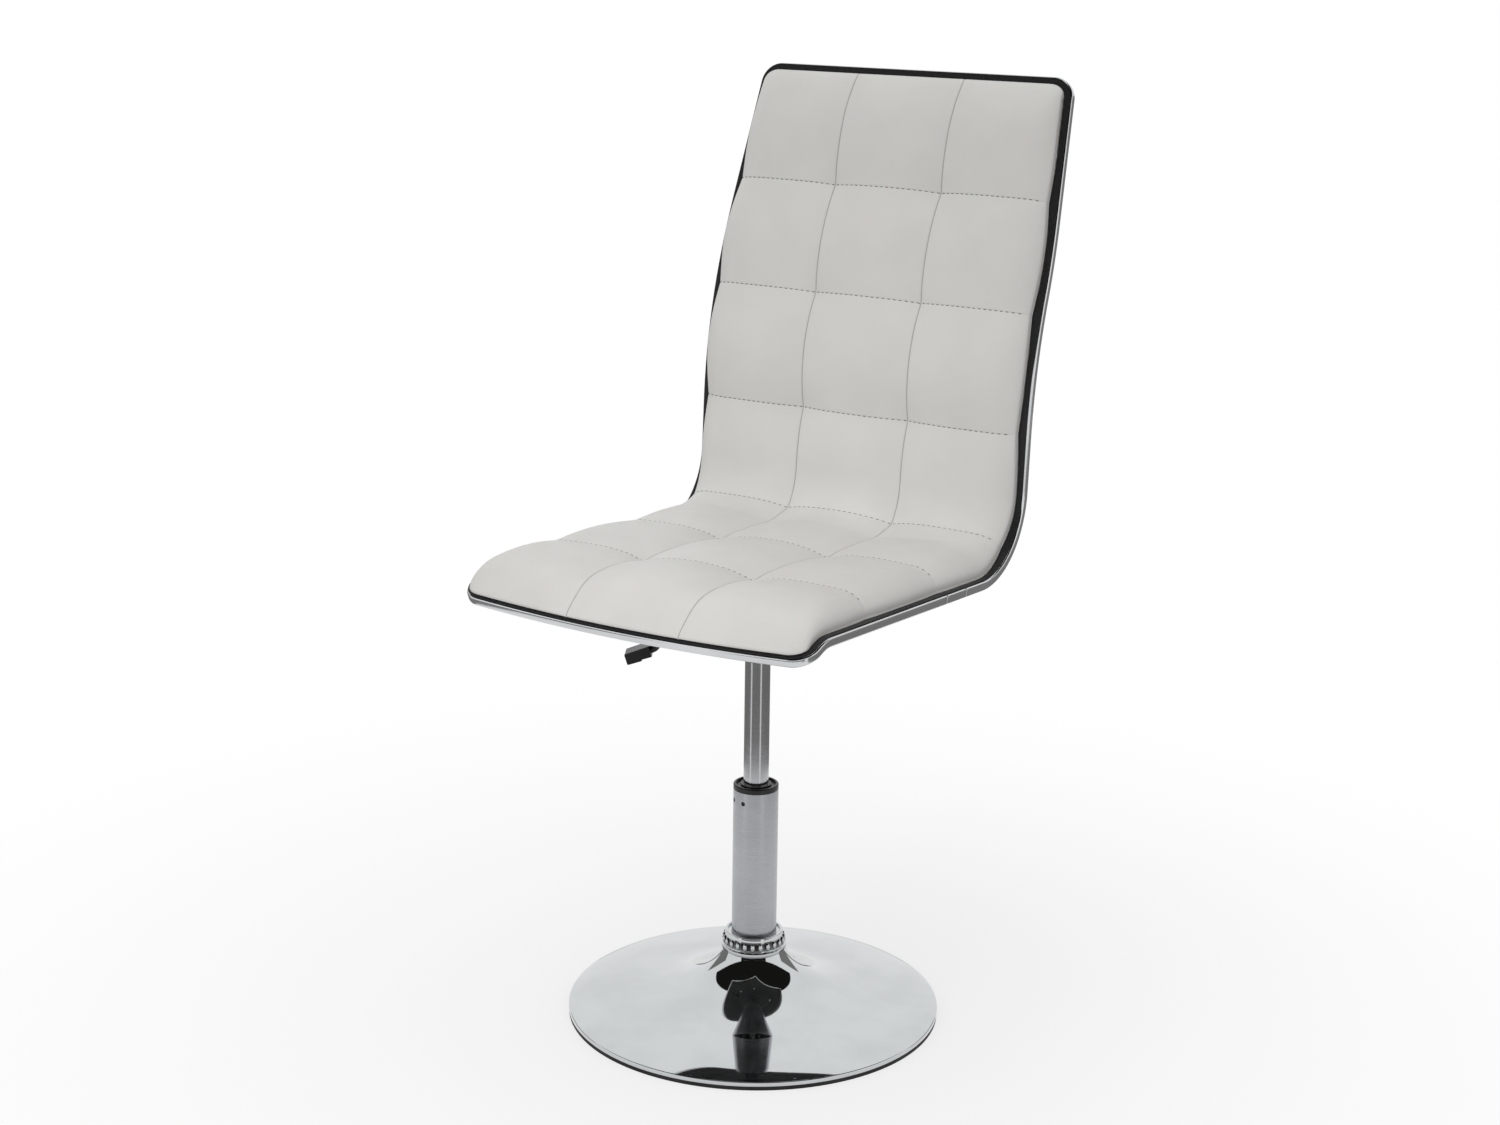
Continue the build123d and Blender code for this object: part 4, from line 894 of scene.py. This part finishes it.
def seen_ray(tree):
    """One where the ray comes from the camera, a reflection or a clear body, else nothing."""
    rays = add_node(tree, "LightPath").outputs
    seen = rays["Is Camera Ray"]
    for kind in ("Is Glossy Ray", "Is Transmission Ray"):
        seen = add_node(tree, "Math", {"operation": "MAXIMUM"}, {0: seen, 1: rays[kind]}).outputs[0]
    return seen


def light_world(scene, stage):
    """White where it is seen and a plain level where it lights."""
    scene.world = bpy.data.worlds.new("studio")
    scene.world.use_nodes = True
    tree = scene.world.node_tree
    tree.nodes.clear()
    lit = add_node(tree, "Background", {"Color": WHITE, "Strength": stage.ambient})
    seen = add_node(tree, "Background", {"Color": WHITE, "Strength": 1.0})
    joins = {0: seen_ray(tree), 1: lit.outputs[0], 2: seen.outputs[0]}
    mixed = add_node(tree, "MixShader", None, joins)
    add_node(tree, "OutputWorld", None, {"Surface": mixed.outputs[0]})


def lay_floor(colours):
    """A round floor of pale matt paint whose far part turns to the background's white."""
    radius = np.array(FLOOR_RINGS)[:, None]
    turn = even_turns(FLOOR_SIDES)
    points = np.stack([radius * np.cos(turn), radius * np.sin(turn), 0 * radius * turn], -1)
    quads = grid_faces(points, wrap_columns=True)[0]
    floor = plain_sheet("floor", points, quads[:, ::-1].tolist() + [list(range(FLOOR_SIDES))])
    paint, tree = empty_finish("floor_paint_pale_matt")
    settings = {"Base Color": tuple(colours.floor), "Roughness": 0.9, "Specular IOR Level": 0.0}
    matt = add_node(tree, "BsdfPrincipled", settings)
    glow = add_node(tree, "Emission", {"Color": WHITE, "Strength": 1.0})
    place = add_node(tree, "TexCoord").outputs["Object"]
    reach = add_node(tree, "VectorMath", {"operation": "LENGTH"}, {0: place}).outputs["Value"]
    settings = {"interpolation_type": "SMOOTHSTEP", **FLOOR_FADE}
    far = add_node(tree, "MapRange", settings, {"Value": reach}).outputs["Result"]
    share = add_node(tree, "Math", {"operation": "MULTIPLY"}, {0: far, 1: seen_ray(tree)})
    joins = {0: share.outputs[0], 1: matt.outputs[0], 2: glow.outputs[0]}
    mixed = add_node(tree, "MixShader", None, joins)
    add_node(tree, "OutputMaterial", None, {"Surface": mixed.outputs[0]})
    floor.data.materials.append(paint)


def hang_cards(stage, colours):
    """Glowing cards of the studio that only reflections see: painted reflections, not lamps.

    On the camera's side a dark wall hangs high and a dark skirt under its middle, with a low grey wall
    at each side and grey sectors on the floor.
    """
    for name, (first, last), radii, heights, shade in CARDS:
        turn = stage.azimuth + np.radians(np.linspace(first, last, CARD_STEPS))[:, None]
        reach, height = np.array([radii]), np.array([heights])
        points = np.stack([reach * np.sin(turn), -reach * np.cos(turn), height + 0 * turn], -1)
        card = plain_sheet(name, points, grid_faces(points)[0].tolist())
        card.visible_camera = card.visible_diffuse = card.visible_shadow = False
        card.visible_transmission = card.visible_volume_scatter = False
        reflection_glow, tree = empty_finish(name + "_felt")
        # Each card glows with its colour at strength one, as a painted reflection
        glow = add_node(tree, "Emission", {"Color": tuple(getattr(colours, shade)), "Strength": 1.0})
        add_node(tree, "OutputMaterial", None, {"Surface": glow.outputs[0]})
        card.data.materials.append(reflection_glow)


def hang_lamp(lamp, place, target):
    """Put a lamp at a place and turn it to a target."""
    made = put(lamp.name, lamp)
    made.location = place
    made.rotation_euler = (Vector(target) - Vector(place)).to_track_quat("-Z", "Y").to_euler()
    made.visible_camera = made.visible_glossy = False


def place_camera(scene, stage):
    """Stand the camera on its bearing, turn it to the chair, tilt it and roll it."""
    camera = bpy.data.cameras.new("camera")
    camera.lens = stage.lens
    camera.sensor_width = 36.0
    camera.sensor_fit = "HORIZONTAL"
    camera.clip_end = 100.0
    made = put("camera", camera)
    ahead = Vector((math.sin(stage.azimuth), -math.cos(stage.azimuth), 0))
    made.matrix_world = (
        Matrix.Translation(stage.distance * ahead + Vector((0, 0, stage.height)))
        @ Matrix.Rotation(stage.azimuth + stage.yaw, 4, "Z")
        @ Matrix.Rotation(math.pi / 2 - stage.pitch, 4, "X")
        @ Matrix.Rotation(stage.roll, 4, "Z")
    )
    scene.camera = made


class CHAIR_OT_finishes(Operator):
    """Give the CAD nodes their finishes"""

    bl_idname = "chair.finishes"
    bl_label = "Finishes of the CAD nodes"

    def execute(self, context):
        made = {slot: finish(name, context.scene.chair_colours) for slot, name in SLOTS.items()}
        for row in frame["record"]["subparts"]:
            finishes = frame["nodes"][row["node"]].data.materials
            finishes.clear()
            finishes.append(made[row["material_slot"]])
        return {"FINISHED"}


class CHAIR_OT_pad(Operator):
    """Sew the tufted pad, fill it by a cloth simulation and close it over the shell"""

    bl_idname = "chair.pad"
    bl_label = "Tufted pad"

    def execute(self, context):
        shell, pad = context.scene.chair_shell, context.scene.chair_pad
        across, along = crowded(PANELS, pad.cells), crowded(ROWS, pad.cells)
        lift = 0.0
        cells = pad.cloth_cells
        columns, rows = np.arange(PANELS * cells + 1)[None, :], np.arange(ROWS * cells + 1)[:, None]
        sheet = pad_surface(shell, pad, columns / cells, rows / cells)[0]
        held = (columns % cells == 0) | (rows % cells == 0)
        field = cloth_lift(sheet, held, pad.pressure, pad.swell_limit)
        lift = resampled(field, along * cells, across * cells)
        top, seam, bottom = pad_surface(shell, pad, across[None, :], along[:, None], lift)
        quads, uv = grid_faces(top, rows=along, columns=across)
        places = np.arange(seam.size).reshape(seam.shape)
        sides = (places[0, :-1], places[:-1, -1], places[-1, :0:-1], places[:0:-1, 0])
        edge, under = np.concatenate(sides), seam.size
        after = np.roll(edge, -1)
        wall = np.stack([edge, edge + under, after + under, after], 1)
        faces = np.concatenate([quads, wall, quads[:, ::-1] + under])
        uv = np.concatenate([uv, np.zeros((len(wall), 4, 2)), uv[:, ::-1]])
        points = np.concatenate([top.reshape(-1, 3), bottom.reshape(-1, 3)])
        # Painted shade along the column seams on the upper face, none on the underside
        near = np.concatenate([seam.ravel(), 0 * seam.ravel()])
        cover = finish("coated_fabric_light_grey_satin", context.scene.chair_colours)
        piece = make_piece("tufted_pad", [(points, faces, uv, [])], "seat", cover, near)
        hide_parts("seat_pad", "back_pad")
        return {"FINISHED"}


class CHAIR_OT_sewing(Operator):
    """Lay the stitches along the pad's row seams"""

    bl_idname = "chair.sewing"
    bl_label = "Stitches"

    def execute(self, context):
        scene = context.scene
        shell, pad, sewing = scene.chair_shell, scene.chair_pad, scene.chair_sewing
        margin = sewing.margin / (shell.half_width - pad.panel_half)
        across = np.arange(margin, PANELS - margin, sewing.pitch / (2 * pad.panel_half))
        across = across[np.abs(across - np.rint(across)) > sewing.crossing]
        places = np.concatenate([[across, np.full(len(across), row)] for row in np.arange(1.0, ROWS)], 1)
        step = np.array([[0.01], [0.0]])
        middle = pad_surface(shell, pad, *places)[0]
        before, after = (pad_surface(shell, pad, *(places + way * step))[0] for way in (-1, 1))
        aim = unit(after - before)
        heading = profile(shell, np.interp(places[1], np.arange(ROWS + 1), seam_runs(shell, pad)))[2]
        normal = np.stack([0 * heading, -np.sin(heading), np.cos(heading)], 1)
        beside = unit(np.cross(aim, normal))
        axes = np.stack([aim, beside, np.cross(beside, aim)], 1)

        # Six-sided rings of a stitch: place from end to end, then radius as a share of the thread's
        ends = np.array([-1.0, -0.86, -0.4, 0.4, 0.86, 1.0])[:, None]
        girth = np.array([0.3, 0.8, 1.0, 1.0, 0.8, 0.3])[:, None]
        turn = even_turns(6)
        ahead = ends * sewing.stitch / 2 + 0 * turn
        aside = sewing.thread * girth * np.cos(turn)
        up = sewing.thread * (girth * np.sin(turn) + sewing.hump * (1 - ends ** 2))
        thread = finish("polyester_thread_matt", scene.chair_colours)
        parts = copies(np.stack([ahead, aside, up], -1), middle, axes)
        make_piece("seam_stitches", parts, "seat", thread)
        return {"FINISHED"}


class CHAIR_OT_edging(Operator):
    """Carry the bright trim and the black welt round the shell"""

    bl_idname = "chair.edging"
    bl_label = "Edge trim and welt"

    def execute(self, context):
        shell, edge = context.scene.chair_shell, context.scene.chair_edge
        colours = context.scene.chair_colours
        path = outline(shell)
        inner, outer = edge.seat_gap, edge.seat_gap + edge.trim_depth
        upper, lower = -edge.seat_gap, -edge.seat_gap - edge.trim_height
        corners = ((inner, upper), (outer, upper), (outer, lower), (inner, lower))
        section = rounded(corners, (SHARP, edge.trim_round, edge.trim_round, SHARP), steps=10)
        metal = finish("aluminium_polished_drawn", colours)

        front = between(path, 0.0, edge.joint_start - edge.joint_gap)
        front = np.concatenate([mirrored(front)[:, :0:-1], front], 1)
        piece = make_piece("trim_front", [bar(shell, front, section)], "seat", metal)
        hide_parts("trim_seat")

        joint_end = edge.joint_start + edge.joint_length
        sleeve = between(path, edge.joint_start, joint_end)
        sleeves = [bar(shell, half, section) for half in (sleeve, mirrored(sleeve))]
        piece = make_piece("trim_sleeves", sleeves, "seat", metal)
        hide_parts("trim_joints")

        back = between(path, joint_end + edge.joint_gap, math.inf)
        back = np.concatenate([back, mirrored(back)[:, -2::-1]], 1)
        piece = make_piece("trim_top", [bar(shell, back, section)], "seat", metal)
        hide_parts("trim_back")

        inner, outer, tail = edge.soft_gap, edge.soft_gap + edge.welt_width, -edge.welt_tail
        lower, thin, upper = edge.seat_gap, edge.tail_height, edge.seat_gap + edge.welt_height
        raised = ((outer, lower), (outer, upper), (inner, upper), (inner, thin))
        soft, nook = edge.welt_round * edge.welt_height, SHARP / 3
        radii = (edge.tail_round, soft, soft, SHARP, nook, edge.tail_round)
        section = rounded(((tail, lower), *raised, (tail, thin)), radii, steps=7)
        loop = np.concatenate([path, mirrored(path)[:, -2:0:-1]], 1)
        welt = bar(shell, loop, section, closed=True)
        cover = finish("coated_fabric_black_grained", colours)
        piece = make_piece("edge_welt", [welt], "seat", cover)
        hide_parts("edge_piping")
        return {"FINISHED"}


class CHAIR_OT_pedestal(Operator):
    """Turn the trumpet base and the beaded collar"""

    bl_idname = "chair.pedestal"
    bl_label = "Base and collar"

    def execute(self, context):
        size, colours = context.scene.chair_pedestal, context.scene.chair_colours
        dish = tube(turned(dish_section(size), size.turns), closed=True)
        mirror = finish("chrome_mirror", colours)
        piece = make_piece("trumpet_base", [dish], "base", mirror)
        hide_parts("base_dish")

        middle = size.neck_height + size.collar_gap + size.collar_height / 2
        turn = even_turns(size.beads)
        out = np.stack([np.cos(turn), np.sin(turn), 0 * turn], 1)
        up = np.array([0.0, 0.0, 1.0])
        axes = np.stack([out, np.cross(up, out), 0 * out + up], 1)
        centres = out * (size.collar_band - size.bead_sink) + up * middle
        ring = tube(turned(collar_section(size), size.turns), closed=True)
        parts = [ring, *copies(bead(size), centres, axes)]

        # Painted shade between the beads, which fades out over a bead, from 0.3 of its depth on, and along
        # a bead's last quarter
        points = np.concatenate([part[0] for part in parts])
        proud = np.hypot(points[:, 0], points[:, 1]) - size.collar_band
        off = np.abs(points[:, 2] - middle) / (size.bead_length / 2)
        bead_gap_shade = np.clip((1 - off) / 0.25, 0, 1) * np.clip(1.3 - proud / size.shade_depth, 0, 1)
        beaded = finish("chrome_mirror_beaded", colours)
        piece = make_piece("beaded_collar", parts, "base", beaded, bead_gap_shade)
        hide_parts("collar")
        return {"FINISHED"}


class CHAIR_OT_stage(Operator):
    """Set the floor, the lamps and the camera"""

    bl_idname = "chair.stage"
    bl_label = "Stage"

    def execute(self, context):
        scene, stage = context.scene, context.scene.chair_stage
        scene.view_settings.view_transform = "Standard"
        light_world(scene, stage)
        lay_floor(scene.chair_colours)
        hang_cards(stage, scene.chair_colours)
        key = bpy.data.lights.new("key_lamp", "AREA")
        key.size = stage.key_size
        key.energy = stage.key_power
        hang_lamp(key, *KEY_LINE)
        spot = bpy.data.lights.new("spot_lamp", "SPOT")
        spot.shadow_soft_size = stage.spot_size
        spot.spot_size = stage.spot_angle
        spot.spot_blend = 1.0
        spot.energy = stage.spot_power
        hang_lamp(spot, *SPOT_LINE)
        place_camera(scene, stage)
        return {"FINISHED"}


class CHAIR_PT_sidebar(Panel):
    """Lists the chair's sizes, colours and steps"""

    bl_label = "Tufted swivel chair"
    bl_idname = "CHAIR_PT_sidebar"
    bl_space_type = "VIEW_3D"
    bl_region_type = "UI"
    bl_category = "Chair"

    def draw(self, context):
        for step in OPERATORS:
            self.layout.operator(step.bl_idname)
        for name in GROUPS:
            box = self.layout.box()
            group = getattr(context.scene, name)
            box.label(text=name.replace("_", " "))
            for key in group.__annotations__:
                box.prop(group, key)


GROUPS = {
    "chair_shell": ShellSizes,
    "chair_pad": PadSizes,
    "chair_sewing": SewingSizes,
    "chair_edge": EdgeSizes,
    "chair_pedestal": PedestalSizes,
    "chair_colours": ChairColours,
    "chair_stage": StageSizes,
}
OPERATORS = (
    CHAIR_OT_finishes,
    CHAIR_OT_pad,
    CHAIR_OT_sewing,
    CHAIR_OT_edging,
    CHAIR_OT_pedestal,
    CHAIR_OT_stage,
)


def register():
    """Register the classes and give the scene their groups."""
    for each in (*GROUPS.values(), *OPERATORS, CHAIR_PT_sidebar):
        bpy.utils.register_class(each)
    for name, group in GROUPS.items():
        setattr(bpy.types.Scene, name, PointerProperty(type=group))


def unregister():
    """Take the groups from the scene and the classes from Blender."""
    for name in GROUPS:
        delattr(bpy.types.Scene, name)
    for each in (CHAIR_PT_sidebar, *reversed(OPERATORS), *reversed(GROUPS.values())):
        bpy.utils.unregister_class(each)


def main():
    """Register the add-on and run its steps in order."""
    register()
    bpy.ops.chair.finishes()
    bpy.ops.chair.pad()
    bpy.ops.chair.sewing()
    bpy.ops.chair.edging()
    bpy.ops.chair.pedestal()
    bpy.ops.chair.stage()


if __name__ == "__main__":
    main()
